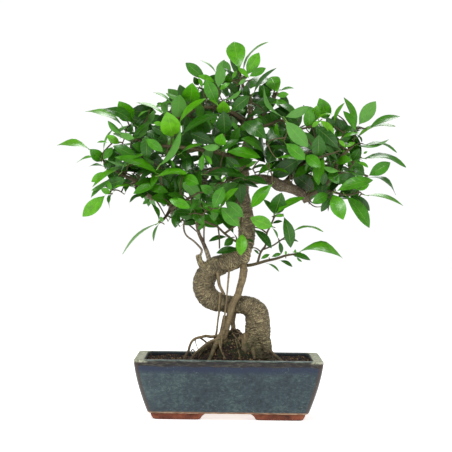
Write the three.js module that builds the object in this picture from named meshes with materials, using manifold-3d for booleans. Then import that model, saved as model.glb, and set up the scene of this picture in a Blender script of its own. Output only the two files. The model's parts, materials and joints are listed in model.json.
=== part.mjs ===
// A trained fig (ficus) tree in a shallow glazed pot. Millimetres, +Z up, the front of the tree towards -Y.
import * as THREE from "three";
import { mergeVertices } from "three/addons/utils/BufferGeometryUtils.js";
import Module from "manifold-3d";

const wasm = await Module();
wasm.setup();

// ---------------------------------------------------------------- driving dimensions

const gap = 0.3; // clear space between neighbouring pieces
const finest = 0.01; // slivers thinner than this, where surfaces cross, are smoothed away

// Pot: a shallow rectangular bonsai pot with bowed walls and a lip turned inwards.
const potLength = 240;
const potDepth = 176;
const rimHeight = 77; // from the table to the top of the rim
const footHeight = 8;
const potTaper = 18; // how far the foot of the wall stands in from the rim
const bowPower = 1.5; // 1 is a straight wall, more is a fuller one
const rimCorner = 10;
const wellCorner = 7; // of the hollow inside
const wallThickness = 8;
const floorThickness = 8;
const lipWidth = 13;
const lipThickness = 6;
const edgeRounding = 3; // of the lower edge of the wall, and of the well where it meets the floor
const potShift = 2.5; // the pot's middle, right of the plumb line below the crown

// Feet: four low slabs of the pot's clay, each with a hollowed inner end.
const footInset = 0.5; // in from the lower edge of the wall
const footLength = 71; // along the pot, where the foot meets it
const footDepth = 38;
const footTaper = 4; // how far the outer ends are drawn in at the table
const footCorner = 7;
const hollowRadius = 11.2;
const hollowDrop = 3; // of the middle of the hollow, below and inside of the foot's inner edge

// Drainage: two holes, each under a wired plastic mesh, below a layer of grit.
const drainRadius = 11;
const drainSpacing = 104;
const clipDistance = 3; // from the edge of a drain hole to the middle of its clip's holes
const meshOverhang = 4; // of a mesh beyond its clip's holes
const meshSide = 2 * (drainRadius + clipDistance + meshOverhang);
const meshBar = 2;
const meshThickness = 1.2;
const meshCells = 3;
const wireRadius = 0.7;
const wireReach = 5; // of each bent end along the underside of the pot
const gritDepth = 10;
const soilBelowRim = 4;
const moundHeight = 15; // of the soil against the foot of the trunk
const moundRadius = 46;

// Leaves.
const bladeThickness = 1.4;
const bladeProportion = 0.42; // width of a blade over its length
const archShare = 0.08; // rise of an ordinary blade over its length
const widestShare = 0.52; // how far along its length a blade is widest
const foldShare = 0.06; // depth of the fold on the midrib over the width
const twigRadius = 0.9;
const twigReach = 12; // a leaf this near to a stem grows straight from it
const twigOverrun = 1.5; // past the foot of the leaf that it carries
const stemStep = 9;
const budShares = [0.35, 0.65, 0.95]; // where the buds of a stem lie between two of its points
const leafShifts = [0, -4, 4, -8, 8, -12, 12, -16, 16, -22, 22];

// ---------------------------------------------------------------- solids

const vec = (p) => new THREE.Vector3(p[0], p[1], p[2]);

function solidOf(geometry) {
  geometry.deleteAttribute("normal");
  geometry.deleteAttribute("uv");
  const merged = mergeVertices(geometry, 1e-4);
  const mesh = new wasm.Mesh({
    numProp: 3,
    vertProperties: merged.attributes.position.array,
    triVerts: new Uint32Array(merged.index.array),
  });
  return new wasm.Manifold(mesh);
}

function geometryOf(solid) {
  const mesh = solid.getMesh();
  const geometry = new THREE.BufferGeometry();
  geometry.setAttribute("position", new THREE.BufferAttribute(mesh.vertProperties, 3));
  geometry.setIndex(new THREE.BufferAttribute(mesh.triVerts, 1));
  return geometry;
}

const joined = (solids) => solids.reduce((whole, solid) => whole.add(solid));

// What is left of a piece after its neighbours are cut away: its largest body.
function largestBody(solid) {
  const bodies = solid.decompose();
  return bodies.reduce((best, body) => (body.volume() > best.volume() ? body : best));
}

// A limb: a tapered tube along a smooth curve through the points, with a radius at each point.
function limb(points, radii, sides = 10, stepsPerSpan = 3, grow = 0) {
  const curve = new THREE.CatmullRomCurve3(points.map(vec), false, "centripetal");
  const spans = points.length - 1;
  const steps = spans * stepsPerSpan;
  const geometry = new THREE.CylinderGeometry(1, 1, 1, sides, steps);
  const frames = [];
  let normal = new THREE.Vector3(0.3, -1, 0.2).normalize();
  for (let i = 0; i <= steps; i++) {
    const tangent = curve.getTangent(i / steps);
    normal = normal.clone().addScaledVector(tangent, -tangent.dot(normal)).normalize();
    const binormal = new THREE.Vector3().crossVectors(tangent, normal);
    const span = Math.min(Math.floor(i / stepsPerSpan), spans - 1);
    const radius = THREE.MathUtils.lerp(radii[span], radii[span + 1], i / stepsPerSpan - span) + grow;
    const centre = curve.getPoint(i / steps);
    if (i === 0) centre.addScaledVector(tangent, -grow);
    if (i === steps) centre.addScaledVector(tangent, grow);
    frames.push({ centre, normal, binormal, radius });
  }
  const position = geometry.attributes.position;
  for (let i = 0; i < position.count; i++) {
    const frame = frames[Math.round((position.getY(i) + 0.5) * steps)];
    const p = frame.centre
      .clone()
      .addScaledVector(frame.binormal, position.getX(i) * frame.radius)
      .addScaledVector(frame.normal, position.getZ(i) * frame.radius);
    position.setXYZ(i, p.x, p.y, p.z);
  }
  return solidOf(geometry);
}

// A straight twig between two points.
function twig(from, to, radius, grow) {
  const along = to.clone().sub(from);
  const geometry = new THREE.CylinderGeometry(radius + grow, radius + grow, along.length() + 2 * grow, 3);
  const turn = new THREE.Quaternion().setFromUnitVectors(new THREE.Vector3(0, 1, 0), along.normalize());
  geometry.applyQuaternion(turn);
  const middle = from.clone().add(to).multiplyScalar(0.5);
  geometry.translate(middle.x, middle.y, middle.z);
  return solidOf(geometry);
}

// A leaf: a closed blade with four points round its edge, arched along its length and folded on its midrib.
function blade(leaf, grow) {
  const along = leaf.tip.clone().sub(leaf.foot);
  const length = along.length();
  along.normalize();
  const normal = leaf.face.clone().addScaledVector(along, -along.dot(leaf.face)).normalize();
  const across = new THREE.Vector3().crossVectors(along, normal);
  const geometry = new THREE.OctahedronGeometry(1);
  const position = geometry.attributes.position;
  for (let i = 0; i < position.count; i++) {
    const end = position.getX(i);
    const top = position.getY(i);
    const side = position.getZ(i);
    const share = Math.abs(end) > 0.5 ? (end + 1) / 2 : widestShare;
    const rise = Math.abs(end) > 0.5 ? 0 : leaf.arch * length;
    const fold = Math.abs(top) > 0.5 ? -foldShare * leaf.width : 0;
    const p = leaf.foot
      .clone()
      .addScaledVector(along, share * length + end * grow)
      .addScaledVector(across, side * (leaf.width / 2 + grow))
      .addScaledVector(normal, rise + fold + top * (bladeThickness / 2 + 1.5 * grow));
    position.setXYZ(i, p.x, p.y, p.z);
  }
  return solidOf(geometry);
}

// A closed body stacked from rounded rectangles: each section is [z, half length, half depth, corner radius].
function stacked(sections, cornerSteps = 3) {
  const sides = 4 * (cornerSteps + 1);
  const geometry = new THREE.CylinderGeometry(1, 1, 1, sides, sections.length - 1);
  const position = geometry.attributes.position;
  for (let i = 0; i < position.count; i++) {
    const ring = Math.round((position.getY(i) + 0.5) * (sections.length - 1));
    const [z, halfLength, halfDepth, corner] = sections[ring];
    const centreOfCap = Math.hypot(position.getX(i), position.getZ(i)) < 0.5;
    // The outline runs clockwise as seen from above, so that the walls face out.
    const turn = (Math.atan2(position.getX(i), position.getZ(i)) + 2 * Math.PI) % (2 * Math.PI);
    const step = Math.round((turn / (2 * Math.PI)) * sides) % sides;
    const quarter = Math.floor(step / (cornerSteps + 1));
    const angle = ((quarter + (step % (cornerSteps + 1)) / cornerSteps) * Math.PI) / 2;
    const signX = [1, -1, -1, 1][quarter];
    const signY = [1, 1, -1, -1][quarter];
    const x = signX * (halfLength - corner) + corner * Math.cos(angle);
    const y = signY * (halfDepth - corner) + corner * Math.sin(angle);
    position.setXYZ(i, centreOfCap ? 0 : x, centreOfCap ? 0 : y, z);
  }
  return solidOf(geometry);
}

function cylinder(radius, bottom, top, x, y, sides = 16) {
  const geometry = new THREE.CylinderGeometry(radius, radius, top - bottom, sides);
  geometry.rotateX(Math.PI / 2);
  geometry.translate(x, y, (bottom + top) / 2);
  return solidOf(geometry);
}

function box(low, high) {
  const size = high.map((h, i) => h - low[i]);
  const geometry = new THREE.BoxGeometry(size[0], size[1], size[2]);
  geometry.translate(low[0] + size[0] / 2, low[1] + size[1] / 2, low[2] + size[2] / 2);
  return solidOf(geometry);
}

// ---------------------------------------------------------------- the scene graph

const group = new THREE.Group();

const finishes = {
  glaze: { color: 0x435f6f, roughness: 0.3, metalness: 0 },
  clay: { color: 0x9a5236, roughness: 0.85, metalness: 0 },
  plastic: { color: 0x1c1c1c, roughness: 0.6, metalness: 0 },
  wire: { color: 0x9a9a96, roughness: 0.35, metalness: 0.9 },
  grit: { color: 0x9a6a4a, roughness: 0.95, metalness: 0 },
  soil: { color: 0x3a2c1e, roughness: 0.95, metalness: 0 },
  bark: { color: 0x8a7d5c, roughness: 0.8, metalness: 0 },
  root: { color: 0x7c6245, roughness: 0.8, metalness: 0 },
  leaf: { color: 0x2f7d1e, roughness: 0.45, metalness: 0 },
};

function add(name, solid, finish) {
  const clean = solid.simplify(finest);
  const mesh = new THREE.Mesh(geometryOf(clean), new THREE.MeshStandardMaterial(finishes[finish]));
  mesh.name = name;
  group.add(mesh);
}

// ---------------------------------------------------------------- pot, feet and drainage

const wallInset = (z) => potTaper * Math.pow(Math.max(0, rimHeight - z) / (rimHeight - footHeight), bowPower);
const soilTop = rimHeight - soilBelowRim;
const floorTop = footHeight + floorThickness;
const gritTop = floorTop + gap + meshThickness + gritDepth;

// A section of the pot at one height, drawn in from its outside by the given margin.
function potSection(z, margin, corner) {
  const inset = wallInset(z) + margin;
  return [z, potLength / 2 - inset, potDepth / 2 - inset, corner];
}

function levels(bottom, top, count) {
  return Array.from({ length: count + 1 }, (_, i) => bottom + ((top - bottom) * i) / count);
}

function makePot() {
  const wall = levels(footHeight + edgeRounding, rimHeight - 1.5, 5).map((z) => potSection(z, 0, rimCorner));
  const outside = stacked([
    potSection(footHeight, edgeRounding, rimCorner - 3),
    ...wall,
    potSection(rimHeight, 1.5, rimCorner - 1.5),
  ]);
  const well = levels(floorTop + edgeRounding, rimHeight - lipThickness, 4);
  const inside = stacked([
    potSection(floorTop, wallThickness + edgeRounding, wellCorner),
    ...well.map((z) => potSection(z, wallThickness, wellCorner)),
  ]);
  const mouth = stacked([
    potSection(rimHeight - lipThickness - 1, lipWidth, wellCorner),
    potSection(rimHeight + 1, lipWidth, wellCorner),
  ]);
  let pot = outside.subtract(inside).subtract(mouth);
  for (const side of [-1, 1]) {
    const x = (side * drainSpacing) / 2;
    pot = pot.subtract(cylinder(drainRadius, footHeight - 1, floorTop + 1, x, 0));
    for (const end of [-1, 1]) {
      pot = pot.subtract(
        cylinder(wireRadius + gap, footHeight - 1, floorTop + 1, x, end * (drainRadius + clipDistance), 8),
      );
    }
  }
  return pot;
}

// One foot, for the corner on the side of x and y that the signs give. Its inner ends are hollowed out below.
function makeFoot(signX, signY) {
  const farX = potLength / 2 - potTaper - edgeRounding - footInset;
  const farY = potDepth / 2 - potTaper - edgeRounding - footInset;
  const slab = stacked([
    [0, footLength / 2 - footTaper, footDepth / 2 - footTaper, footCorner],
    [footHeight / 2, footLength / 2 - 1, footDepth / 2 - 1, footCorner],
    [footHeight - gap, footLength / 2, footDepth / 2, footCorner],
  ]).translate([signX * (farX - footLength / 2), signY * (farY - footDepth / 2), 0]);
  const alongDepth = new THREE.CylinderGeometry(hollowRadius, hollowRadius, potDepth, 24);
  alongDepth.translate(signX * (farX - footLength - hollowDrop), 0, -hollowDrop);
  const alongLength = new THREE.CylinderGeometry(hollowRadius, hollowRadius, potLength, 24);
  alongLength.rotateZ(Math.PI / 2);
  alongLength.translate(0, signY * (farY - footDepth - hollowDrop), -hollowDrop);
  return slab.subtract(solidOf(alongDepth)).subtract(solidOf(alongLength));
}

// The mesh over one drain hole: a square grid of bars.
function makeMesh(x) {
  const half = meshSide / 2;
  const bottom = floorTop + gap;
  let mesh = box([x - half, -half, bottom], [x + half, half, bottom + meshThickness]);
  const cell = (meshSide - meshBar) / meshCells;
  for (let i = 0; i < meshCells; i++) {
    for (let j = 0; j < meshCells; j++) {
      const low = [x - half + meshBar + i * cell, -half + meshBar + j * cell, bottom - 1];
      const high = [low[0] + cell - meshBar, low[1] + cell - meshBar, bottom + meshThickness + 1];
      mesh = mesh.subtract(box(low, high));
    }
  }
  return mesh;
}

// The wire that clips a mesh down: across its top, down two holes and outwards under the pot.
function makeClip(x) {
  const over = floorTop + gap + meshThickness + gap + wireRadius;
  const under = footHeight - gap - wireRadius;
  const hole = drainRadius + clipDistance;
  const path = [
    [x, -hole - wireReach, under],
    [x, -hole - 0.6, under],
    [x, -hole, under + 0.6],
    [x, -hole, over - 0.6],
    [x, -hole + 0.6, over],
    [x, hole - 0.6, over],
    [x, hole, over - 0.6],
    [x, hole, under + 0.6],
    [x, hole + 0.6, under],
    [x, hole + wireReach, under],
  ];
  return limb(path, path.map(() => wireRadius), 6, 1);
}

// The grit fills the foot of the well, but for the space that is given as clear.
function makeGrit(clear) {
  const side = wallThickness + gap;
  const layer = stacked([
    potSection(floorTop + gap, side + edgeRounding, wellCorner),
    potSection(floorTop + edgeRounding + gap, side, wellCorner),
    potSection(gritTop, side, wellCorner),
  ]);
  return layer.subtract(clear);
}

function makeSoil() {
  const top = rimHeight - lipThickness - gap;
  const body = levels(gritTop + gap, top, 4).map((z) => potSection(z, wallThickness + gap, wellCorner));
  const neck = stacked([
    potSection(top - 1, lipWidth + gap, wellCorner),
    potSection(soilTop, lipWidth + gap, wellCorner),
  ]);
  // The soil rises in a soft mound round the trunk.
  const mound = new THREE.SphereGeometry(1, 14, 6);
  mound.rotateX(Math.PI / 2);
  mound.scale(moundRadius, moundRadius * 0.8, moundHeight);
  mound.translate(2, 0, soilTop - 1);
  return stacked(body).add(neck).add(solidOf(mound));
}

// ---------------------------------------------------------------- trunk, branches and roots

// Each limb is a list of [x, y, z, radius].
const trunkLine = [
  [41, 2, 50, 20], [40, 2, 72, 18.5], [39.5, 2, 90, 17], [40, 2, 118, 16.5], [36, 2, 136, 15.5],
  [24, 1, 143.5, 12.5], [10, 0, 144, 11.3], [-2, -1, 145, 11.6], [-14, -1, 147.5, 12.8], [-24, 0, 153, 14],
  [-31, 1, 167, 15.3], [-28, 1, 181, 14.5], [-18, 0, 191, 13.6], [-8, 0, 195.5, 13.2], [2, 0, 199, 12.5],
  [12, 0, 204, 11.6], [20, 0, 215, 11], [24, 0, 232, 11.3], [23.5, 0, 248, 11.5], [20, 0, 266, 11.5],
  [16, 0, 285, 11.5], [15, 0, 300, 11], [17, 0, 315, 10], [20, 1, 335, 8], [24, 2, 355, 6],
  [26, 2, 375, 5], [27, 1, 395, 4], [25, 0, 418, 3],
];
const cutStub = [[-30, 0, 190, 7], [-36, 0, 199, 4.5], [-39, 0, 208, 3.6]];
const rootFlare = [[42, -4, 98, 9], [52, -8, 84, 7], [62, -12, 72, 5], [72, -14, 60, 3]];
const backFlare = [[40, 8, 96, 9], [44, 22, 82, 7], [48, 34, 68, 4]];

const rootLines = {
  root_mass: [[27, -2, 92, 8], [16, -4, 97, 8], [8, -4, 92, 9], [3, -4, 78, 9], [0, -4, 58, 7]],
  root_back: [[9, 9, 134, 3.4], [7.2, 9, 121, 3], [8.1, 8, 113.8, 3], [6.3, 8, 104, 3.2], [5, 8, 84, 3], [5, 8, 64, 2]],
  prop_root: [
    [21, -12, 191, 4.6], [18.9, -15, 177.6, 4.2], [16.2, -16, 168.6, 4], [13.5, -16, 157.8, 4], [8.1, -16, 148, 3.8],
    [4.5, -15, 139, 3.6], [2.7, -15, 129, 3.5], [0, -15, 119, 3.4], [-1.8, -15, 110, 3.3], [-3.6, -15, 103, 3.2],
    [-9, -16, 99.5, 3], [-13.5, -17, 96, 2.8], [-14.3, -18, 90.5, 2.6], [-17, -19, 82.4, 2.3], [-21.5, -20, 71.6, 2],
    [-24, -20, 62, 1.6],
  ],
  prop_root_companion: [
    [-3, -8, 130, 2.6], [-5.4, -9, 114.7, 3], [-7.2, -9, 106.6, 3], [-8, -8, 94, 3], [-8, -8, 78, 2.6], [-8, -8, 62, 2],
  ],
  aerial_root_front: [
    [1.8, -14, 190, 1.3], [0.5, -20, 173, 1.2], [-0.4, -22, 160.5, 1.2], [-1.8, -21, 146, 1.2], [-3.6, -20, 128, 1.2],
    [-6, -22, 112, 1.1], [-7, -24, 90, 1], [-6, -24, 66, 0.9],
  ],
  aerial_root_inner: [[-13, -10, 186, 2.4], [-10.7, -14, 170, 2], [-8, -15, 164, 2], [-4, -14, 157, 2]],
  aerial_root_left: [
    [-9.5, -12, 160, 1.6], [-10.3, -15, 146, 1.4], [-10.8, -15, 133.6, 1.4], [-12, -14, 123.7, 1.4],
    [-13.9, -12, 106.6, 1.4], [-17, -10, 96, 1.4], [-19, -9, 64, 1.2],
  ],
  root_tan: [[23, -12, 108, 2], [23.4, -16, 96.8, 2], [22.5, -18, 86, 2], [21, -19, 64, 1.6]],
  surface_root_arched: [
    [-12, -11, 104, 2], [-19.7, -13, 102.6, 1.9], [-27, -14, 103.5, 1.8], [-34, -15, 102, 1.8], [-40.4, -16, 100.4, 1.8],
    [-44.9, -17, 96.8, 1.8], [-48, -18, 90.5, 1.8], [-49.4, -19, 84.2, 1.8], [-53.8, -20, 77, 1.7], [-57, -21, 64, 1.4],
  ],
  surface_root_low: [
    [-10, -24, 101, 1.9], [-21.5, -25, 96.8, 1.8], [-30.5, -26, 90.5, 1.8], [-36.8, -27, 85, 1.8], [-43, -27, 78.8, 1.7],
    [-49, -27, 66, 1.4],
  ],
  surface_root_right: [[50, -14, 92, 3], [60, -22, 82, 2.6], [70, -30, 74, 2.2], [78, -36, 62, 1.8]],
  surface_root_rear: [[30, 14, 94, 4], [20, 28, 84, 3.2], [10, 40, 74, 2.6], [4, 46, 62, 2]],
};

const branchLines = {
  branch_right: [
    [19, 0, 302, 6.5], [33, 0, 306.5, 6.4], [47, 0, 307, 6.4], [57, 0, 304.5, 7], [65, 0, 300, 8], [77, 0, 297, 6.5],
    [89, 0, 292.5, 6.5], [98, 0, 287, 5.8], [103, 0, 279, 5.6],
  ],
  branch_left: [
    [14, 2, 292, 7], [-15, 8, 299, 6.5], [-50, 6, 298, 6], [-80, 0, 288, 5.5], [-97, -4, 282, 5], [-112, -4, 292, 4],
    [-125, -3, 303, 3],
  ],
  riser: [[-23, 0, 196, 3.2], [-26, -1, 208, 3], [-31, -2, 221, 2.6], [-38, -4, 236, 2.4], [-41.5, -6, 252, 2.2]],
  riser_curly: [
    [-37, 0, 205, 1.6], [-34, -2, 214, 1.4], [-37.5, -4, 219, 1.3], [-44.6, -6, 226, 1.3], [-54, -8, 233, 1.3],
    [-57.5, -10, 241.5, 1.3], [-57, -12, 252, 1.2],
  ],
};
const leftBranchStub = [[-66, 3, 292, 4.6], [-72, 1, 276, 4], [-76, 0, 261, 3.5]];
const riserFork = [[-31, -2, 221, 1.3], [-31.5, -5, 234, 1.2], [-31, -8, 252, 1.1]];

// ---------------------------------------------------------------- leafy boughs

// Leaves set one by one: the foot of the blade and its tip, each as x then z, the width that shows from in front,
// how far the leaf stands to the front (negative) or back, and the arch of its blade where it isn't the usual one.
const setLeaves = {
  crown_top: [
    [12, 450, 4, 487, 25, 0],
    [17, 449, 49, 486, 3, 2, 0.16],
    [22, 443, 37, 471, 16, -8],
    [25, 440, 46, 451, 10, -12],
    [31, 418, 60, 451, 6, -16],
    [4, 434, -10, 451, 4, -10, 0.14],
    [-3, 430, 1, 446, 11, -2],
    [3, 437, 8, 447, 5, -14],
    [-15, 425, -11, 453, 14, -18],
    [-14, 440, -8, 463, 14, 4],
    [1, 447, -9, 461, 8, 2],
    [-18, 444, -39, 461, 3, 0],
    [0, 430, -13, 421, 6, -30],
    [-6, 408, 15, 422, 5, -34],
    [2, 394, 25, 413, 15, -38],
    [22, 412, 20, 428, 10, -14],
    [24, 437, 10, 450, 7, -22],
    [11, 428, 20, 436, 5, -28],
  ],
  crown_right: [
    [62, 420, 53, 442, 20, 6],
    [50, 410, 38, 428, 16, -14],
    [33, 405, 60, 409, 9, -22],
    [60, 416, 76, 418, 8, -6],
    [66, 423, 83, 426, 4, -2],
    [66, 382, 52, 394, 12, -16],
    [61, 411, 63, 400, 3, -28],
    [43, 378, 33, 386, 7, -12],
    [20, 384, 34, 391, 4, -8],
    [12, 368, 24, 378, 8, -24],
    [12, 368, 3, 380, 6, -24],
  ],
  crown_left: [
    [-33, 437, -58, 457, 14, -5],
    [-20, 432, -42, 440, 8, -10],
    [-17, 403, -31, 433, 17, -42],
    [-51, 403, -48, 428, 23, -34],
    [-41, 428, -47, 438, 8, -12],
    [-36, 424, -41, 437, 5, -16],
    [-68, 378, -64, 413, 20, -36],
    [-64, 378, -30, 409, 9, -46],
    [-60, 362, -13, 388, 11, -58],
    [-6, 364, -8, 392, 19, -52],
    [-13, 349, -9, 363, 15, -62],
    [-8, 391, -8, 405, 17, -50],
    [-27, 407, -14, 399, 3, -46],
    [-84, 388, -120, 403, 5, -30],
    [-76, 405, -99, 417, 4, -20],
    [-60, 410, -83, 417, 6, -16],
    [-82, 388, -86, 404, 9, -18],
    [-84, 403, -94, 402, 4, -10],
    [-72, 360, -79, 389, 26, -64],
    [-85, 375, -97, 377, 6, -42],
  ],
  left_upper: [
    [-128, 381, -143, 405, 22, -8],
    [-121, 374, -163, 395, 13, -22, 0.14],
    [-138, 373, -187, 392, 9, -10, 0.12],
    [-138, 363, -157, 380, 8, -20],
    [-163, 342, -150, 371, 4, -4, 0.1],
    [-158, 352, -171, 352, 3, -14],
    [-142, 351, -158, 361, 10, -18, 0.16],
    [-124, 355, -99, 380, 7, -28],
    [-122, 357, -140, 362, 9, -32],
    [-122, 357, -104, 376, 9, -30],
    [-113, 372, -97, 395, 9, -16],
    [-106, 394, -119, 385, 3, -12],
    [-77, 362, -100, 373, 12, -36, 0.14],
    [-84, 356, -108, 366, 10, -32],
    [-84, 340, -106, 356, 12, -46],
    [-105, 328, -107, 361, 16, -38],
    [-118, 331, -149, 347, 13, -36],
    [-163, 330, -151, 346, 10, -12],
    [-130, 332, -148, 340, 5, -28],
    [-119, 333, -160, 330, 4, -26, 0.12],
    [-88, 322, -62, 368, 10, -66, 0.1],
    [-34, 346, -12, 347, 9, -52],
    [-20, 352, -50, 364, 14, -42],
    [-62, 338, -34, 350, 5, -54],
    [-10, 342, 12, 357, 9, -42],
    [-33, 337, -35, 316, 8, -58],
    [-31, 336, -22, 324, 5, -52],
    [-54, 333, -54, 314, 12, -50],
    [-75, 330, -70, 318, 4, -54],
  ],
  left_outer: [
    [-181, 343, -224, 348, 9, 0, 0.14],
    [-164, 329, -180, 343, 15, -6],
    [-168, 331, -198, 326, 3, -2, 0.14],
    [-161, 320, -182, 321, 3, -4, 0.16],
    [-158, 314, -178, 301, 10, -12, 0.14],
    [-134, 322, -176, 294, 8, -18, 0.1],
    [-157, 304, -178, 290, 7, -8],
    [-152, 290, -157, 303, 6, -14],
    [-153, 287, -165, 292, 8, -16],
    [-163, 293, -179, 280, 5, -4, 0.12],
    [-161, 283, -189, 256, 17, -8],
    [-155, 285, -156, 274, 5, -6],
    [-148, 290, -154, 267, 3, -8, 0.12],
    [-161, 330, -154, 317, 10, -8],
    [-110, 284, -128, 275, 5, -16, 0.2],
    [-102, 280, -111, 273, 5, -12],
    [-92, 298, -122, 286, 11, -42],
    [-91, 312, -146, 332, 12, -48, 0.1],
    [-89, 309, -53, 312, 9, -60, 0.16],
    [-98, 318, -118, 312, 5, -32],
    [-88, 300, -105, 306, 6, -36],
    [-125, 296, -148, 294, 4, -22],
  ],
  left_lower: [
    [-92, 248, -136, 208, 3, -20, 0.1],
    [-90, 247, -96, 225, 4, -22],
    [-90, 252, -100, 274, 5, -18, 0.12],
    [-84, 250, -88, 257, 5, -26],
    [-67, 262, -68, 243, 12, -28],
    [-46, 261, -71, 262, 9, -36],
    [-48, 268, -76, 279, 12, -46],
    [-57, 308, -38, 299, 15, -62],
    [-20, 288, -36, 297, 12, -58],
  ],
  middle_low: [
    [-19, 269, -7, 296, 15, -66],
    [-10, 271, 12, 295, 8, -60],
    [19, 258, -3, 277, 15, -54],
    [14, 246, -9, 269, 17, -50],
    [-48, 264, -38, 280, 6, -50],
    [-34, 270, -11, 264, 8, -46],
    [-2, 232, -25, 226, 6, -22],
    [14, 216, -15, 211, 9, -28],
    [6, 230, -5, 221, 10, -32],
    [18, 236, 16, 209, 15, -44],
    [-30, 249, -39, 241, 5, -32],
    [-38, 253, -55, 251, 3, -34],
    [24, 229, 33, 226, 3, -24],
  ],
  middle_front: [
    [-29, 312, 22, 309, 11, -48, 0.1],
    [18, 308, 50, 300, 9, -38],
    [8, 302, 38, 296, 7, -34],
    [-19, 311, -12, 305, 4, -44],
    [-9, 302, -4, 310, 4, -44],
    [-3, 341, 40, 334, 14, -46, 0.1],
    [36, 330, 22, 322, 6, -20],
    [29, 320, 17, 317, 3, -24, 0.2],
    [30, 320, 49, 325, 4, -18],
    [38, 313, 57, 327, 8, -24],
    [50, 316, 76, 316, 5, -16, 0.14],
    [-4, 335, 14, 318, 12, -40],
  ],
  right_upper: [
    [72, 387, 101, 401, 12, -36],
    [97, 401, 108, 393, 9, -34],
    [71, 380, 100, 348, 19, -58],
    [88, 372, 76, 387, 12, -26],
    [102, 371, 101, 398, 15, -42],
    [108, 382, 112, 402, 13, -34],
    [127, 386, 115, 412, 19, -16],
    [111, 383, 131, 391, 3, -42, 0.12],
    [115, 382, 105, 374, 6, -46],
    [115, 382, 133, 363, 9, -48, 0.14],
    [134, 374, 124, 387, 11, -26],
    [75, 363, 92, 350, 10, -46],
    [72, 352, 97, 332, 16, -54],
    [139, 347, 109, 374, 16, -52],
    [113, 335, 113, 363, 18, -60],
    [98, 337, 116, 322, 15, -64],
    [63, 334, 92, 332, 6, -48],
    [51, 349, 84, 336, 8, -40],
    [70, 386, 43, 428, 6, -32, 0.16],
  ],
  right_outer: [
    [163, 374, 147, 414, 10, -16],
    [162, 371, 146, 396, 10, -26],
    [135, 381, 148, 407, 5, -20, 0.1],
    [168, 380, 189, 410, 18, -8],
    [182, 376, 221, 391, 9, -4],
    [166, 363, 215, 378, 5, -6, 0.12],
    [165, 353, 207, 361, 5, -4, 0.1],
    [178, 354, 218, 344, 5, 0, 0.14],
    [176, 336, 230, 325, 9, -2, 0.14],
    [182, 314, 209, 331, 16, -6],
    [174, 342, 179, 345, 3, -8],
    [166, 330, 180, 324, 5, -14, 0.16],
    [160, 333, 168, 348, 12, -16],
    [181, 311, 217, 289, 6, -2, 0.26],
    [180, 288, 227, 275, 6, 0, 0.1],
    [139, 293, 184, 307, 15, -48],
    [163, 296, 181, 302, 10, -20],
    [151, 286, 181, 246, 17, -34, 0.1],
    [158, 287, 182, 268, 12, -22, 0.14],
    [134, 288, 146, 256, 20, -46],
    [127, 289, 107, 277, 14, -40],
    [130, 284, 119, 266, 9, -28],
    [160, 325, 175, 314, 10, -20],
    [149, 349, 140, 358, 5, -36],
    [149, 349, 161, 355, 5, -36],
    [145, 361, 167, 368, 5, -26],
    [147, 355, 157, 372, 9, -16],
    [150, 372, 140, 386, 10, -14],
    [146, 317, 164, 314, 3, -38],
    [130, 318, 140, 302, 14, -36],
    [140, 318, 121, 323, 7, -42],
    [120, 300, 124, 316, 9, -34],
  ],
  right_low: [
    [60, 262, 68, 290, 20, -18],
    [59, 262, 45, 281, 7, -16],
    [62, 264, 98, 284, 9, -22],
    [60, 259, 72, 260, 4, -24],
    [72, 258, 81, 219, 15, -16],
    [57, 250, 70, 253, 4, -12],
    [57, 246, 28, 257, 17, -30],
    [57, 244, 64, 231, 3, -18],
    [33, 242, 56, 218, 10, -26],
    [43, 204, 54, 210, 5, -6],
    [57, 207, 69, 211, 5, -8],
    [82, 210, 107, 203, 7, -8],
    [92, 213, 149, 206, 12, -4, 0.18],
    [68, 202, 84, 194, 5, -6],
    [51, 198, 67, 187, 3, -4],
    [89, 207, 96, 201, 3, -10],
    [75, 209, 75, 215, 3, -8],
    [87, 211, 87, 217, 3, -8],
    [70, 229, 91, 227, 4, -10],
    [85, 241, 123, 240, 3, -12, 0.12],
    [66, 227, 69, 211, 6, -14],
    [33, 216, 40, 210, 3, -14],
  ],
  right_inner: [
    [55, 300, 29, 270, 15, -34],
  ],
};

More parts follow.
